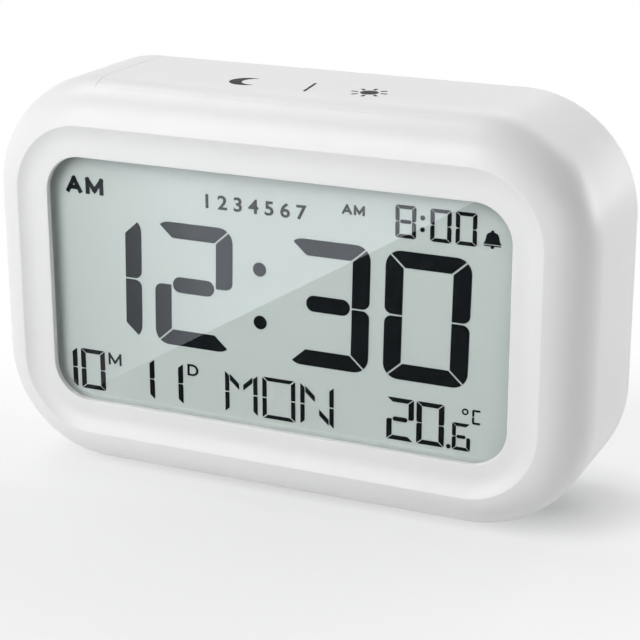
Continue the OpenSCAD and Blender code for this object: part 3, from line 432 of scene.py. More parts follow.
def flat_ring(x, z, r, hole_r):
    """Adds a flat disc on the display, or a ring where it has a hole."""
    bpy.ops.object.select_all(action="DESELECT")
    bpy.ops.mesh.primitive_circle_add(vertices=32, radius=r * MM, fill_type="NGON",
                                      rotation=(math.pi / 2, 0, 0),
                                      location=(x * MM, figures_low.y, mid_z + z * MM))
    ring = named("legend")
    bpy.ops.object.mode_set(mode="EDIT")
    if hole_r:
        bpy.ops.mesh.select_all(action="SELECT")
        bpy.ops.mesh.inset(thickness=(r - hole_r) * MM)
        bpy.ops.mesh.delete(type="FACE")
    bpy.ops.mesh.select_all(action="SELECT")
    thickness = {"value": (0, figures_high.y - figures_low.y, 0)}
    bpy.ops.mesh.extrude_region_move(TRANSFORM_OT_translate=thickness)
    bpy.ops.mesh.select_all(action="SELECT")
    bpy.ops.mesh.normals_make_consistent(inside=False)
    bpy.ops.object.mode_set(mode="OBJECT")
    return ring


def flat_bell(x, rows):
    """Adds a bell on the display from rows of (height, half width), its rim first."""
    z, half = rows[0]
    lip = 0.01
    bell = flat_bar(x - half, x + half, z + lip, z)
    bpy.ops.object.mode_set(mode="EDIT")
    pick(bell, "FACE", lambda f: f.normal.z > straight)
    for (z_0, half_0), (z_1, half_1) in zip(rows, rows[1:]):
        bpy.ops.mesh.extrude_region_move(TRANSFORM_OT_translate={"value": (0, 0, (z_1 - z_0) * MM)})
        middle = (x * MM, 0, 0)
        bpy.ops.transform.resize(value=(half_1 / half_0, 1, 1), center_override=middle)
    bpy.ops.object.mode_set(mode="OBJECT")
    return bell


bell_x = 47.23
bell_rows = ((18.4, 1.86), (18.6, 1.8), (18.85, 1.58), (19.3, 1.42), (19.85, 1.34), (20.25, 1.22),
             (20.5, 1.05), (20.7, 0.75), (20.8, 0.4), (20.85, 0.32), (21.1, 0.3), (21.2, 0.18))
letter_a = (((0, 0), (0.5, 1)), ((0.5, 1), (1, 0)), ((0.2, 0.28), (0.8, 0.28)))
letter_m = (((0, 0), (0, 1)), ((0, 1), (0.5, 0.15)), ((0.5, 0.15), (1, 1)), ((1, 1), (1, 0)))
# Each sign with its left, right, top and bottom, and then the width or weight of its strokes.
marks = [
    *drawn(letter_a, -48.95, -45.1, 22.34, 18.73, 0.95),
    *drawn(letter_m, -44.15, -39.83, 22.34, 18.73, 0.95),
    legend("1 2 3 4 5 6 7", -15.44, 7.54, 21.84, 18.73, 0.02),
    *drawn(letter_a, 15.35, 17.5, 23.05, 21.04, 0.46),
    *drawn(letter_m, 17.95, 20.29, 23.05, 21.04, 0.46),
    *drawn(letter_m, -40.13, -36.95, -16.5, -19.2, 0.45),
    legend("D", -20.66, -18.05, -16.2, -18.8, 0.012),
    flat_ring(42.47, -17.1, 0.7, 0.4),
    flat_bar(43.97, 44.4, -16.6, -17.85), flat_bar(43.97, 44.4, -18.05, -19.3),
    flat_bar(44.1, 45.68, -16.4, -16.8), flat_bar(44.1, 45.68, -19.1, -19.5),
    flat_bell(bell_x, bell_rows), flat_ring(bell_x, 17.85, 0.36, 0),
    flat_bar(45.5, 48.96, 18.2, 18.0),
]
select_only(*marks)
bpy.ops.object.join()
legends = named("display_legends")
wear(legends, lcd_figure)
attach(legends, "case")

# ---- Light guide, film and lamps -----------------------------------------------------------------
# A clear plate with a dotted back that spreads the light of two small lamps behind the glass, on a
# white film. The lamps are cast in milky resin, and a white frame holds it all.
light_guide = grained("light_guide", (0.93, 0.97, 0.97), 0.25, grain=0.8 * MM, depth=0.05 * MM)
light_guide.node_tree.nodes["Principled BSDF"].inputs["Transmission Weight"].default_value = 0.6
dress(light_guide, "light_guide")
white_inner = grained("white_inner", (0.8, 0.8, 0.79), 0.5, drift=0.04)
dress(white_inner, "light_reflector", "display_frame")
lamp_resin = grained("lamp_resin", (0.85, 0.9, 0.7), 0.3, drift=0.1, grain=0.2 * MM)
dress(lamp_resin, "backlight_leds")

# ---- Contact strips ------------------------------------------------------------------------------
# Rubber strips with fine black layers that carry the current from the board to the display glass.
# They are squeezed between the two.
contact_rubber, tree, surface = new_finish("contact_rubber")
place = add(tree, "ShaderNodeTexCoord")
layers = add(tree, "ShaderNodeTexWave", Scale=150.0, Distortion=0.4)
tree.links.new(place.outputs["Object"], layers.inputs["Vector"])
rubber = tint(tree, layers.outputs["Fac"], (0.03, 0.03, 0.035), (0.55, 0.5, 0.5))
tree.links.new(rubber, surface.inputs["Base Color"])
tree.links.new(spread(tree, speckle(tree, 0.3 * MM), 0.55, 0.75), surface.inputs["Roughness"])
dress(contact_rubber, "zebra_strips")

# ---- Boards and their parts ----------------------------------------------------------------------
# Glass-fibre boards under green lacquer with copper tracks, the chip under a drop of black resin,
# the quartz in its tin can, small soldered parts and the sensor of the temperature. Screws hold
# the main board.
circuit_board, tree, surface = new_finish("circuit_board")
place = add(tree, "ShaderNodeTexCoord")
tracks = add(tree, "ShaderNodeTexVoronoi", feature="DISTANCE_TO_EDGE", Scale=260.0)
tree.links.new(place.outputs["Object"], tracks.inputs["Vector"])
edge = spread(tree, tracks.outputs["Distance"], 1, 0, 0.04, 0.1)
lacquer = tint(tree, edge, (0.012, 0.09, 0.035), (0.03, 0.17, 0.07))
tree.links.new(lacquer, surface.inputs["Base Color"])
tree.links.new(spread(tree, speckle(tree, 1 * MM), 0.3, 0.42), surface.inputs["Roughness"])
raised = add(tree, "ShaderNodeBump", Strength=0.4, Distance=0.03 * MM)
tree.links.new(edge, raised.inputs["Height"])
tree.links.new(raised.outputs["Normal"], surface.inputs["Normal"])
dress(circuit_board, "main_board", "key_board", "snooze_board")
dress(grained("resin", (0.015, 0.015, 0.017), 0.3, drift=0.3, grain=1.5 * MM, depth=0.05 * MM),
      "clock_chip", "temperature_sensor")
dress(grained("chip_part", (0.42, 0.33, 0.22), 0.45, drift=0.35, grain=0.5 * MM), "board_parts")
bright_metal = grained("bright_metal", (0.8, 0.79, 0.77), 0.25, drift=0.1, grain=0.15 * MM,
                       metal=1.0)
dress(bright_metal, "quartz_crystal")
screw_steel = grained("screw_steel", (0.55, 0.55, 0.56), 0.32, drift=0.2, grain=0.2 * MM, metal=1.0)
dress(screw_steel, "board_screws")

# ---- Bracket, springs and switch of the snooze key -----------------------------------------------
# A white moulded bracket guides the key's posts. Two steel coils push the key up, clips stop it,
# and a push switch on a small board reads it.
dress(white_inner, "snooze_bracket")
spring_steel = grained("spring_steel", (0.6, 0.6, 0.61), 0.28, drift=0.15, grain=0.15 * MM,
                       metal=1.0)
dress(spring_steel, "snooze_clips")
coil_low, coil_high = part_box("snooze_springs")
post_x, post_y = 30 * MM, -0.025 * MM
coil_r, wire_r, coil_turns = 3.4 * MM, 0.3 * MM, 5
bpy.ops.object.select_all(action="DESELECT")
bpy.ops.mesh.primitive_circle_add(vertices=10, radius=wire_r, rotation=(math.pi / 2, 0, 0),
                                  location=(coil_r, 0, 0))
coil = named("snooze_coils")
bpy.ops.object.modifier_add(type="SCREW")
turns = coil.modifiers[-1]
turns.screw_offset = (coil_high.z - coil_low.z - 2 * wire_r) / coil_turns
turns.iterations = coil_turns
turns.steps = turns.render_steps = 32
bpy.ops.object.modifier_apply(modifier=turns.name)
close(coil)
other = coil.copy()
other.data = coil.data.copy()
bpy.context.collection.objects.link(other)
for piece, side in ((coil, -1), (other, 1)):
    piece.location = (side * post_x, post_y, coil_low.z + wire_r)
select_only(other, coil)
bpy.ops.object.join()
coil = named("snooze_coils")
smooth(coil, 60)
wear(coil, spring_steel)
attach(coil, "case")
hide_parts("snooze_springs")
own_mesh(coil)
dress(screw_steel, "bracket_screws")
switch_body = grained("switch_body", (0.035, 0.035, 0.038), 0.45, drift=0.2)
dress(switch_body, "snooze_switch", "key_switches")
switch_stem = grained("switch_stem", (0.8, 0.77, 0.68), 0.4, drift=0.06)
dress(switch_stem, "snooze_stem", "mode_stem", "set_stem", "up_stem", "down_stem", "alarm_stem")
wire_jacket = grained("wire_jacket", (0.45, 0.035, 0.03), 0.5, drift=0.2, grain=0.3 * MM)
dress(wire_jacket, "snooze_wires", "battery_wires", "sounder_wires")

# ---- Snooze key ----------------------------------------------------------------------------------
# The pressed part of the top, moulded in white: a skin that follows the housing's curves, on two
# guide posts with a plunger between them. Its print is a moon and a sun, as the key stops the alarm
# and turns on the light.
print_sunk = 0.03 * MM
print_t = 0.02 * MM
post_r, neck_r, plunger_r, post_soft = 2.5 * MM, 1.7 * MM, 2 * MM, 0.2 * MM
shoulder_z, neck_z, plunger_z = mid_z + 28.7 * MM, mid_z + 26.9 * MM, mid_z + 36.8 * MM
key_top = top_z - print_sunk
key_skin = block("snooze_skin", (key_low.x, arc_y, top_z - wall), (key_high.x, back_arc_y, key_top))
bpy.ops.object.mode_set(mode="EDIT")
front_turn = math.asin((arc_y - key_low.y) / front_r)
back_turn = math.asin((key_high.y - back_arc_y) / back_r)
pick(key_skin, "FACE", lambda f: f.normal.y < -straight)
bpy.ops.mesh.spin(steps=round(front_turn / turn_step), angle=-front_turn,
                  center=(0, arc_y, top_z - front_r), axis=(1, 0, 0))
pick(key_skin, "FACE", lambda f: f.normal.y > straight)
bpy.ops.mesh.spin(steps=round(back_turn / turn_step), angle=back_turn,
                  center=(0, back_arc_y, top_z - back_r), axis=(1, 0, 0))
bpy.ops.mesh.select_all(action="SELECT")
bpy.ops.mesh.normals_make_consistent(inside=False)
bpy.ops.object.mode_set(mode="OBJECT")


def post(x, y, r, low, high):
    """Adds an upright round post with a softened lower end."""
    bpy.ops.object.select_all(action="DESELECT")
    bpy.ops.mesh.primitive_cylinder_add(vertices=40, radius=r, depth=high - low,
                                        location=(x, y, (low + high) / 2))
    piece = named("post")
    bpy.ops.object.mode_set(mode="EDIT")
    pick(piece, "EDGE", lambda e: max(v.co.z for v in e.verts) < low + hair)
    bpy.ops.mesh.bevel(offset=post_soft, segments=3, affect="EDGES")
    bpy.ops.object.mode_set(mode="OBJECT")
    return piece


inner_top = top_z - wall
posts = [post(0, post_y, plunger_r, plunger_z, inner_top)]
for side in (-1, 1):
    posts += [post(side * post_x, post_y, post_r, shoulder_z, inner_top),
              post(side * post_x, post_y, neck_r, neck_z, shoulder_z)]
select_only(*posts, key_skin)
bpy.ops.object.join()
smooth(key_skin)
wear(key_skin, white_shell)
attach(key_skin, "snooze")
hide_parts("snooze_key")

moon_x, slash_x, sun_x, print_y = -11.8 * MM, 2.6 * MM, 15.8 * MM, -4.4 * MM
moon_r, bite_r, bite_x, bite_y = 3.7 * MM, 3.1 * MM, 2 * MM, 0.5 * MM
slash_l, slash_w, slash_turn = 4.2 * MM, 0.6 * MM, math.radians(98)
sun_r, ray_in, ray_out, ray_w, rays = 1.9 * MM, 2.5 * MM, 3.9 * MM, 0.7 * MM, 8


def disc(x, y, r, grow=0.0):
    """Adds a thin round plate on the key's top."""
    bpy.ops.object.select_all(action="DESELECT")
    bpy.ops.mesh.primitive_cylinder_add(vertices=48, radius=r, depth=print_t + 2 * grow,
                                        location=(x, y, key_top + print_t / 2))
    return named("print")


def stroke(x, y, turn, start, end, width):
    """Adds a thin straight stroke on the key's top, that runs outward from a place."""
    piece = block("print", (start, -width / 2, key_top), (end, width / 2, key_top + print_t))
    piece.location = (x, y, 0)
    piece.rotation_euler.z = turn
    return named("print")


moon = disc(moon_x, print_y, moon_r)
combine(moon, disc(moon_x + bite_x, print_y + bite_y, bite_r, print_t), "DIFFERENCE")
prints = [moon, disc(sun_x, print_y, sun_r),
          stroke(slash_x, print_y, slash_turn, -slash_l, slash_l, slash_w)]
for i in range(rays):
    prints.append(stroke(sun_x, print_y, i * 2 * math.pi / rays, ray_in, ray_out, ray_w))
select_only(*prints)
bpy.ops.object.join()
key_print = named("snooze_print")
print_ink = grained("print_ink", (0.045, 0.045, 0.05), 0.7, drift=0.2, grain=0.2 * MM)
print_ink.node_tree.nodes["Principled BSDF"].inputs["Specular IOR Level"].default_value = 0.1
wear(key_print, print_ink)
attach(key_print, "snooze")

# ---- Setting keys --------------------------------------------------------------------------------
# Five grey moulded keys in the sunk strip of the back, each with a flange that keeps it in and a
# plunger that meets its switch. A ribbon joins their board to the main board.
cap_r, cap_soft = 2.45 * MM, 0.4 * MM
flange_out, flange_t, plunger_out, key_plunger_r = 1 * MM, 0.8 * MM, 1.2 * MM, 1.8 * MM
grey_key = grained("grey_key", (0.56, 0.56, 0.555), 0.42, drift=0.03)


def pill(name, x, z, half_x, half_z, low_y, high_y, r):
    """Adds a plate with round ends."""
    piece = block(name, (x - half_x, low_y, z - half_z), (x + half_x, high_y, z + half_z))
    bpy.ops.object.mode_set(mode="EDIT")
    pick(piece, "EDGE", runs_deep)
    bpy.ops.mesh.bevel(offset=r, segments=14, affect="EDGES")
    bpy.ops.object.mode_set(mode="OBJECT")
    return piece


def rod(name, x, z, r, low_y, high_y):
    """Adds a round rod along the depth."""
    bpy.ops.object.select_all(action="DESELECT")
    bpy.ops.mesh.primitive_cylinder_add(vertices=48, radius=r, depth=high_y - low_y,
                                        rotation=(math.pi / 2, 0, 0),
                                        location=(x, (low_y + high_y) / 2, z))
    return named(name)


set_low, set_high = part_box("set_key")
set_x, keys_z = (set_low.x + set_high.x) / 2, (set_low.z + set_high.z) / 2
cap_half_x = (set_high.x - set_low.x) / 2 - flange_out
cap_half_z = (set_high.z - set_low.z) / 2 - flange_out
flange_y = set_low.y + plunger_out
cap = pill("key_cap", set_x, keys_z, cap_half_x, cap_half_z, flange_y, set_high.y, cap_r)
bpy.ops.object.mode_set(mode="EDIT")
pick(cap, "EDGE", lambda e: min(v.co.y for v in e.verts) > set_high.y - hair)
bpy.ops.mesh.bevel(offset=cap_soft, segments=4, affect="EDGES")
bpy.ops.object.mode_set(mode="OBJECT")
flange = pill("flange", set_x, keys_z, cap_half_x + flange_out, cap_half_z + flange_out, flange_y,
              flange_y + flange_t, cap_r + flange_out)
plunger = rod("plunger", set_x, keys_z, key_plunger_r, set_low.y, flange_y)
select_only(flange, plunger, cap)
bpy.ops.object.join()
smooth(cap)
wear(cap, grey_key)
for body in ("mode", "set", "up", "down", "alarm"):
    low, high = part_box(body + "_key")
    key = cap.copy()
    key.data = cap.data.copy()
    key.name = key.data.name = body + "_cap"
    bpy.context.collection.objects.link(key)
    key.location.x = (low.x + high.x) / 2 - set_x
    select_only(key)
    bpy.ops.object.transform_apply(location=True, rotation=True, scale=True)
    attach(key, body)
    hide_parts(body + "_key")
bpy.data.objects.remove(cap)
dress(screw_steel, "key_board_screws")
dress(grained("ribbon", (0.62, 0.62, 0.64), 0.45, drift=0.08, grain=0.6 * MM), "key_ribbon")

# ---- Sounder -------------------------------------------------------------------------------------
# A thin brass disc with a silvered ceramic layer, glued to a ring inside the rear cover. Two wires
# lead from it to the main board.
sounder_brass = grained("sounder_brass", (0.72, 0.53, 0.22), 0.3, drift=0.15, grain=0.2 * MM,
                        metal=1.0)
dress(sounder_brass, "sounder_disc")
dress(grained("sounder_ceramic", (0.8, 0.77, 0.68), 0.5, drift=0.08), "sounder_ceramic")

# ---- Rear cover ----------------------------------------------------------------------------------
# The back, moulded in the same white plastic: a shallow cup with the sunk strip of the setting
# keys, the battery bay, the holes of the sounder and four deep screw holes.
cover_gap = 0.15 * MM
cover_y = back_y - wall
rim_t = 2.6 * MM
tube_r, tube_l, head_r, shank_r = 3.2 * MM, 4.6 * MM, 2.6 * MM, 1.45 * MM
screw_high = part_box("cover_screws")[1]
screw_r = 2.4 * MM
screw_x, screw_z = screw_high.x - screw_r, screw_high.z - mid_z - screw_r
seat_y = back_y - 3.2 * MM
strip_half_x, strip_half_z, strip_y = 38 * MM, 5 * MM, back_y - 1.2 * MM
strip_flat = 0.02 * MM
key_pitch, key_play = 15 * MM, 0.1 * MM
door_low, door_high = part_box("battery_door")
door_half = 27 * MM
hinge_y, hinge_z, knuckle_r = back_y - 1.4 * MM, mid_z + 7.4 * MM, 1.4 * MM
hinge_room = 1.6 * MM
door_in_y, door_gap = back_y - 2 * MM, 0.2 * MM
tongue_half, tongue_top = 4 * MM, 1.2 * MM
cell_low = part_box("battery_1")[0]
bay_half_x, bay_z, bay_half_z = 24.75 * MM, mid_z - 12 * MM, 16.8 * MM
bay_y, bay_wall = cell_low.y - door_gap, 1.5 * MM
bay_rim_w, bay_rim_t = 2.7 * MM, 3.2 * MM
scoop_r, scoop_out, scoop_down = 7 * MM, 5.6 * MM, 1 * MM
sounder_low, sounder_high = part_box("sounder_disc")
sounder_x, sounder_z = (sounder_low.x + sounder_high.x) / 2, (sounder_low.z + sounder_high.z) / 2
sounder_r, sounder_rim = (sounder_high.x - sounder_low.x) / 2, 1.5 * MM
hole_r, hole_pitch, holes_round = 0.9 * MM, 4 * MM, 6
past = 1 * MM

cover = block("rear_shell", (-half_w, back_arc_y - back_r, bottom_z), (half_w, back_arc_y, top_z))
bpy.ops.object.mode_set(mode="EDIT")
pick(cover, "EDGE", runs_deep)
bpy.ops.mesh.bevel(offset=corner_r, segments=corner_steps, profile=0.5, affect="EDGES")
pick(cover, "FACE", lambda f: f.normal.y > straight)
follow(cover, arc(back_r, 0, math.pi / 2, turn_step), 1, back_ring)
bpy.ops.mesh.select_all(action="SELECT")
rim_y = seam_y + cover_gap
bpy.ops.mesh.bisect(plane_co=(0, rim_y, 0), plane_no=(0, 1, 0), clear_inner=True, use_fill=True)
pick(cover, "FACE", lambda f: f.calc_center_median().y < rim_y + hair)
bpy.ops.mesh.inset(thickness=rim_t)
cup = {"value": (0, cover_y - rim_y, 0)}
bpy.ops.mesh.extrude_region_move(TRANSFORM_OT_translate=cup)
bpy.ops.mesh.select_all(action="SELECT")
bpy.ops.mesh.normals_make_consistent(inside=False)
bpy.ops.object.mode_set(mode="OBJECT")

outside = back_y + past
four = [(x, mid_z + z) for x in (-screw_x, screw_x) for z in (-screw_z, screw_z)]
for x, z in four:
    combine(cover, rod("tube", x, z, tube_r, cover_y - tube_l, cover_y + past), "UNION")
strip_back = pill("strip_back", 0, keys_z, strip_half_x + wall, strip_half_z + wall, strip_y - wall,
                  cover_y + past, strip_half_z + wall - strip_flat)
combine(cover, strip_back, "UNION")
box_half_x, box_half_z = bay_half_x + bay_wall, bay_half_z + bay_wall
bay_box = block("bay_box", (-box_half_x, bay_y - bay_wall, bay_z - box_half_z),
                (box_half_x, cover_y + past, bay_z + box_half_z))
combine(cover, bay_box, "UNION")
bay_rim = block("bay_rim", (-door_half - bay_rim_w, cover_y - bay_rim_t, door_low.z - bay_rim_w),
                (door_half + bay_rim_w, cover_y + past, door_high.z + bay_rim_w))
combine(cover, bay_rim, "UNION")
ring = rod("sounder_ring", sounder_x, sounder_z, sounder_r, sounder_high.y, cover_y + past)
combine(cover, ring, "UNION")

strip = pill("strip", 0, keys_z, strip_half_x, strip_half_z, strip_y, outside,
             strip_half_z - strip_flat)
combine(cover, strip, "DIFFERENCE")
for i in range(-2, 3):
    key_hole = pill("key_hole", i * key_pitch, keys_z, cap_half_x + key_play, cap_half_z + key_play,
                    strip_y - wall - past, outside, cap_r + key_play)
    combine(cover, key_hole, "DIFFERENCE")
for x, z in four:
    combine(cover, rod("head_hole", x, z, head_r, seat_y, outside), "DIFFERENCE")
    shank_hole = rod("shank_hole", x, z, shank_r, cover_y - tube_l - past, seat_y + past / 2)
    combine(cover, shank_hole, "DIFFERENCE")
bay = block("bay", (-bay_half_x, bay_y, bay_z - bay_half_z),
            (bay_half_x, outside, bay_z + bay_half_z))
combine(cover, bay, "DIFFERENCE")
place_half = door_half + door_gap
door_place = block("door_place", (-place_half, door_in_y - door_gap, door_low.z - door_gap),
                   (place_half, outside, door_high.z + door_gap))
combine(cover, door_place, "DIFFERENCE")
hinge_low = hinge_y - knuckle_r - door_gap
hinge_place = block("hinge_place", (-place_half, hinge_low, hinge_z - hinge_room),
                    (place_half, outside, hinge_z + hinge_room))
combine(cover, hinge_place, "DIFFERENCE")
slot_half = tongue_half + door_gap
tongue_place = block("tongue_place", (-slot_half, door_low.y - 2 * door_gap, door_low.z - door_gap),
                     (slot_half, outside, door_low.z + tongue_top + door_gap))
combine(cover, tongue_place, "DIFFERENCE")
bpy.ops.object.select_all(action="DESELECT")
bpy.ops.mesh.primitive_uv_sphere_add(segments=64, ring_count=48, radius=scoop_r,
                                     location=(0, back_y + scoop_out, door_low.z - scoop_down))
combine(cover, named("scoop"), "DIFFERENCE")
spots = [(0, 0)]
for i in range(1, holes_round + 1):
    turn = i * 2 * math.pi / holes_round
    spots.append((hole_pitch * math.cos(turn), hole_pitch * math.sin(turn)))
for x, z in spots:
    sound_hole = rod("sound_hole", sounder_x + x, sounder_z + z, hole_r, sounder_low.y, outside)
    combine(cover, sound_hole, "DIFFERENCE")
room = rod("sound_room", sounder_x, sounder_z, sounder_r - sounder_rim, sounder_low.y, cover_y)
combine(cover, room, "DIFFERENCE")
smooth(cover)
wear(cover, white_shell)
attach(cover, "case")
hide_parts("rear_cover")
dress(screw_steel, "cover_screws")

# ---- Batteries -----------------------------------------------------------------------------------
# Three AAA cells in printed jackets with bare steel ends, between nickel-plated contacts and cone
# springs.
jacket_half, band_start, print_soft = 19.8 * MM, 8 * MM, 0.1 * MM
cell_jacket, tree, surface = new_finish("cell_jacket")
place = add(tree, "ShaderNodeTexCoord")
parts = add(tree, "ShaderNodeSeparateXYZ")
tree.links.new(place.outputs["Object"], parts.inputs["Vector"])
reach = add(tree, "ShaderNodeMath", operation="ABSOLUTE")
tree.links.new(parts.outputs["X"], reach.inputs[0])
bare = spread(tree, reach.outputs["Value"], 0, 1, jacket_half, jacket_half + print_soft)
band = spread(tree, parts.outputs["X"], 0, 1, band_start, band_start + 2 * print_soft)
grime = speckle(tree, 4 * MM)
paint = add(tree, "ShaderNodeMix", data_type="RGBA")
tree.links.new(band, paint.inputs["Factor"])
tree.links.new(tint(tree, grime, (0.012, 0.02, 0.035), (0.02, 0.035, 0.055)), paint.inputs["A"])
tree.links.new(tint(tree, grime, (0.5, 0.29, 0.1), (0.58, 0.36, 0.14)), paint.inputs["B"])
coat = add(tree, "ShaderNodeMix", data_type="RGBA", B=(0.7, 0.7, 0.7, 1))
tree.links.new(bare, coat.inputs["Factor"])
tree.links.new(paint.outputs["Result"], coat.inputs["A"])
tree.links.new(coat.outputs["Result"], surface.inputs["Base Color"])
tree.links.new(bare, surface.inputs["Metallic"])
tree.links.new(spread(tree, grime, 0.28, 0.4), surface.inputs["Roughness"])
dress(cell_jacket, "battery_1", "battery_2", "battery_3")
dress(bright_metal, "battery_contacts", "battery_springs")

# ---- Battery door --------------------------------------------------------------------------------
# A flat door moulded in the same white plastic. It turns on two pins at its top, and has a tongue
# at its lower edge and three grooves for the thumb.
door_soft = 0.3 * MM
pin_r = 0.8 * MM
tongue_low, tongue_root = 0.2 * MM, 1 * MM
groove_r, groove_d, groove_l, groove_step = 0.7 * MM, 0.4 * MM, 14 * MM, 2 * MM
groove_up, grooves = 4 * MM, 3
door = block("door_plate", (-door_half, door_in_y, door_low.z), (door_half, back_y, hinge_z))
bpy.ops.object.mode_set(mode="EDIT")
pick(door, "EDGE", lambda e: min(v.co.y for v in e.verts) > back_y - hair
     and min(v.co.z for v in e.verts) < hinge_z - hair)
bpy.ops.mesh.bevel(offset=door_soft, segments=4, affect="EDGES")
bpy.ops.object.mode_set(mode="OBJECT")


def spindle(name, y, z, r, half):
    """Adds a round bar along the width."""
    bpy.ops.object.select_all(action="DESELECT")
    bpy.ops.mesh.primitive_cylinder_add(vertices=48, radius=r, depth=2 * half,
                                        rotation=(0, math.pi / 2, 0), location=(0, y, z))
    return named(name)


combine(door, spindle("knuckle", hinge_y, hinge_z, knuckle_r, door_half), "UNION")
combine(door, spindle("pins", hinge_y, hinge_z, pin_r, door_high.x), "UNION")
tongue = block("tongue", (-tongue_half, door_low.y, door_low.z + tongue_low),
               (tongue_half, door_in_y + tongue_root, door_low.z + tongue_top))
combine(door, tongue, "UNION")
for i in range(grooves):
    further = groove_step * i
    groove_z = door_low.z + groove_up + further
    groove = spindle("groove", back_y + groove_r - groove_d, groove_z, groove_r,
                     (groove_l - further) / 2)
    combine(door, groove, "DIFFERENCE")
close(door)
smooth(door)
wear(door, white_shell)
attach(door, "door")
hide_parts("battery_door")

# ---- Studio --------------------------------------------------------------------------------------
# A pale table that runs into a white backdrop, soft lamps and the camera. In sight the table shines
# white with distance, and least in a fixed spot by the clock's right end, as painted shade there.
view_turn = math.radians(24.574)
view_rise = math.radians(18.569)
view_roll = math.radians(-0.112)
image_px = 640
focal_px = 1907.73
sensor_mm = 36
bpy.ops.object.camera_add(location=(164.44 * MM, -353.595 * MM, 166.15 * MM))
camera = bpy.context.object
aimed = Matrix.Rotation(view_turn, 3, "Z") @ Matrix.Rotation(math.pi / 2 - view_rise, 3, "X")
camera.rotation_euler = (aimed @ Matrix.Rotation(view_roll, 3, "Z")).to_euler()
camera.data.sensor_width = sensor_mm
camera.data.lens = focal_px / image_px * sensor_mm
camera.data.clip_start = 0.01
bpy.context.scene.camera = camera


def in_sight(tree):
    """One where a thing is looked at, straight, in a gloss or through glass, and none elsewhere."""
    path = add(tree, "ShaderNodeLightPath")
    seen = path.outputs["Is Camera Ray"]
    for kind in ("Is Glossy Ray", "Is Transmission Ray"):
        more = add(tree, "ShaderNodeMath", operation="MAXIMUM")
        tree.links.new(seen, more.inputs[0])
        tree.links.new(path.outputs[kind], more.inputs[1])
        seen = more.outputs["Value"]
    return seen


fade_start, fade_end, near_white, white_r = -10 * MM, 90 * MM, 0.5, 200 * MM
# A fixed round spot by the clock's right end where the white shine is cut: painted shade.
shade_at, shade_r, shade_end, shade_white = Vector((54, 8, 0)) * MM, 6 * MM, 36 * MM, 0.14
bpy.ops.mesh.primitive_plane_add(size=8)
floor = bpy.context.object
floor.name = "floor"
table, tree, surface = new_finish("pale_table")
surface.inputs["Base Color"].default_value = (0.84, 0.852, 0.848, 1)
surface.inputs["Roughness"].default_value = 0.6
place = add(tree, "ShaderNodeTexCoord")
turned = add(tree, "ShaderNodeMapping", Rotation=(0, 0, -view_turn))
parts = add(tree, "ShaderNodeSeparateXYZ")
fade = add(tree, "ShaderNodeMapRange", interpolation_type="SMOOTHSTEP", From_Min=fade_start,
           From_Max=fade_end, To_Min=near_white)
glow = add(tree, "ShaderNodeEmission")
reach = add(tree, "ShaderNodeVectorMath", operation="LENGTH")
either = add(tree, "ShaderNodeMath", operation="MAXIMUM")
deep = add(tree, "ShaderNodeVectorMath", operation="DISTANCE")
deep.inputs[1].default_value = shade_at
least = add(tree, "ShaderNodeMath", operation="MINIMUM")
share = add(tree, "ShaderNodeMath", operation="MULTIPLY")
sweep = add(tree, "ShaderNodeMixShader")
tree.links.new(place.outputs["Object"], turned.inputs["Vector"])
tree.links.new(turned.outputs["Vector"], parts.inputs["Vector"])
tree.links.new(parts.outputs["Y"], fade.inputs["Value"])
tree.links.new(in_sight(tree), share.inputs[0])
tree.links.new(place.outputs["Object"], reach.inputs[0])
tree.links.new(fade.outputs["Result"], either.inputs[0])
outward = spread(tree, reach.outputs["Value"], near_white, 1, 0, white_r)
tree.links.new(outward, either.inputs[1])
tree.links.new(either.outputs["Value"], least.inputs[0])
tree.links.new(place.outputs["Object"], deep.inputs[0])
shaded = spread(tree, deep.outputs["Value"], shade_white, 1, shade_r, shade_end)
tree.links.new(shaded, least.inputs[1])
tree.links.new(least.outputs["Value"], share.inputs[1])
tree.links.new(share.outputs["Value"], sweep.inputs["Fac"])
tree.links.new(surface.outputs["BSDF"], sweep.inputs[1])
tree.links.new(glow.outputs["Emission"], sweep.inputs[2])
tree.links.new(sweep.outputs["Shader"], tree.nodes["Material Output"].inputs["Surface"])
wear(floor, table)


def lamp(name, turn, rise, distance, size, power):
    """Adds a soft square lamp that faces the clock, turned from the front and raised from the
    table."""
    level = math.cos(rise)
    aim = Vector((math.sin(turn) * level, -math.cos(turn) * level, math.sin(rise)))
    bpy.ops.object.light_add(type="AREA", location=aim * distance + Vector((0, 0, mid_z)))
    light = bpy.context.object
    light.name = name
    light.rotation_euler = aim.to_track_quat("Z", "Y").to_euler()
    light.data.size = size
    light.data.energy = power


lamp_away, lamp_size = 1.0, 0.5
for name, turn, rise, power in (
        ("left_lamp", -30, 38, 3.8), ("front_lamp", -30, 6, 3.4), ("right_lamp", 45, 6, 1.7),
        ("side_lamp", 130, 6, 3.1), ("far_side_lamp", 150, 6, 1.2), ("back_lamp", 150, 38, 1.3),
        ("middle_lamp", 180, 38, 0.6), ("rear_lamp", -160, 38, 0.9), ("high_lamp", -105, 60, 3.0)):
    lamp(name, math.radians(turn), math.radians(rise), lamp_away, lamp_size, power)

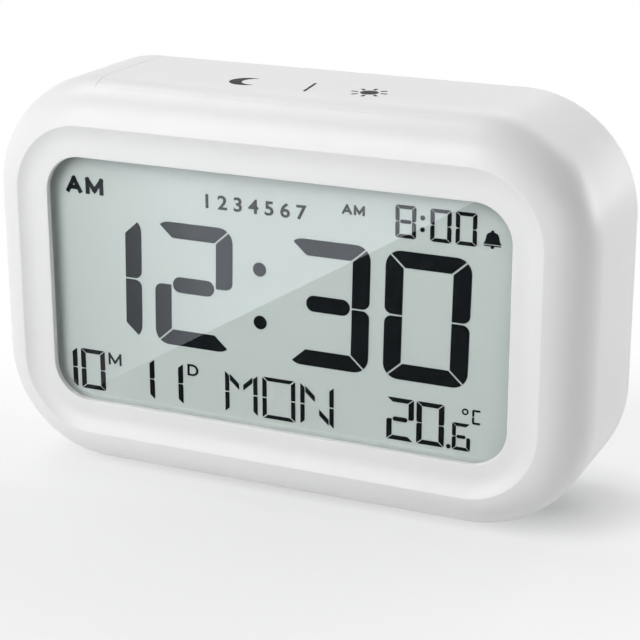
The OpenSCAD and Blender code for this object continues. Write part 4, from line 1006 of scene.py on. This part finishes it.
# A white card lies in front of the clock at the left, seen only as a sheen in the lens. Its
# straight edge is the slanting edge of the sheen, and a black card beyond it keeps the rest of the
# lens dark.
card_z, white_w, black_w = 2 * MM, 170 * MM, 130 * MM
past_near, past_far = 40 * MM, 60 * MM
card_near, card_far = Vector((-65.7, -71.9, 0)) * MM, Vector((-43.3, -256.2, 0)) * MM
along = (card_far - card_near).normalized()
across = Vector((-along.y, along.x, 0))
card_near, card_far = card_near - along * past_near, card_far + along * past_far
sheen_from, sheen_way = Vector((-80, -58, 0)) * MM, Vector((0.843, -0.537, 0))
sheen_start, sheen_full, sheen_light = 5 * MM, 45 * MM, 1.5
for name, width in (("white_card", -white_w), ("black_card", black_w)):
    bpy.ops.mesh.primitive_plane_add(size=1)
    card = bpy.context.object
    card.name = name
    bpy.ops.object.mode_set(mode="EDIT")
    mesh = bmesh.from_edit_mesh(card.data)
    corners = (card_near, card_far, card_far + across * width, card_near + across * width)
    for vertex, corner in zip(mesh.faces[:][0].verts, corners):
        vertex.co = corner + Vector((0, 0, card_z))
    bmesh.update_edit_mesh(card.data)
    bpy.ops.object.mode_set(mode="OBJECT")
    sheen, tree, surface = new_finish(name)
    glow = add(tree, "ShaderNodeEmission", Color=(0.94, 0.99, 1.08, 1), Strength=0.0)
    tree.links.new(glow.outputs["Emission"], tree.nodes["Material Output"].inputs["Surface"])
    if width < 0:
        place = add(tree, "ShaderNodeTexCoord")
        shift = add(tree, "ShaderNodeVectorMath", operation="SUBTRACT")
        shift.inputs[1].default_value = sheen_from
        reach = add(tree, "ShaderNodeVectorMath", operation="DOT_PRODUCT")
        reach.inputs[1].default_value = sheen_way
        tree.links.new(place.outputs["Object"], shift.inputs[0])
        tree.links.new(shift.outputs["Vector"], reach.inputs[0])
        power = spread(tree, reach.outputs["Value"], 0, sheen_light, sheen_start, sheen_full)
        tree.links.new(power, glow.inputs["Strength"])
    wear(card, sheen)
    card.visible_camera = card.visible_diffuse = False
    card.visible_shadow = card.visible_volume_scatter = False

world = bpy.data.worlds.new("studio")
bpy.context.scene.world = world
world.use_nodes = True
tree = world.node_tree
sky = tree.nodes["Background"]
sky.inputs["Color"].default_value = (1, 1, 1, 1)
tree.links.new(spread(tree, in_sight(tree), 0.01, 1, 0, 1), sky.inputs["Strength"])

bpy.context.scene.view_settings.view_transform = "Standard"
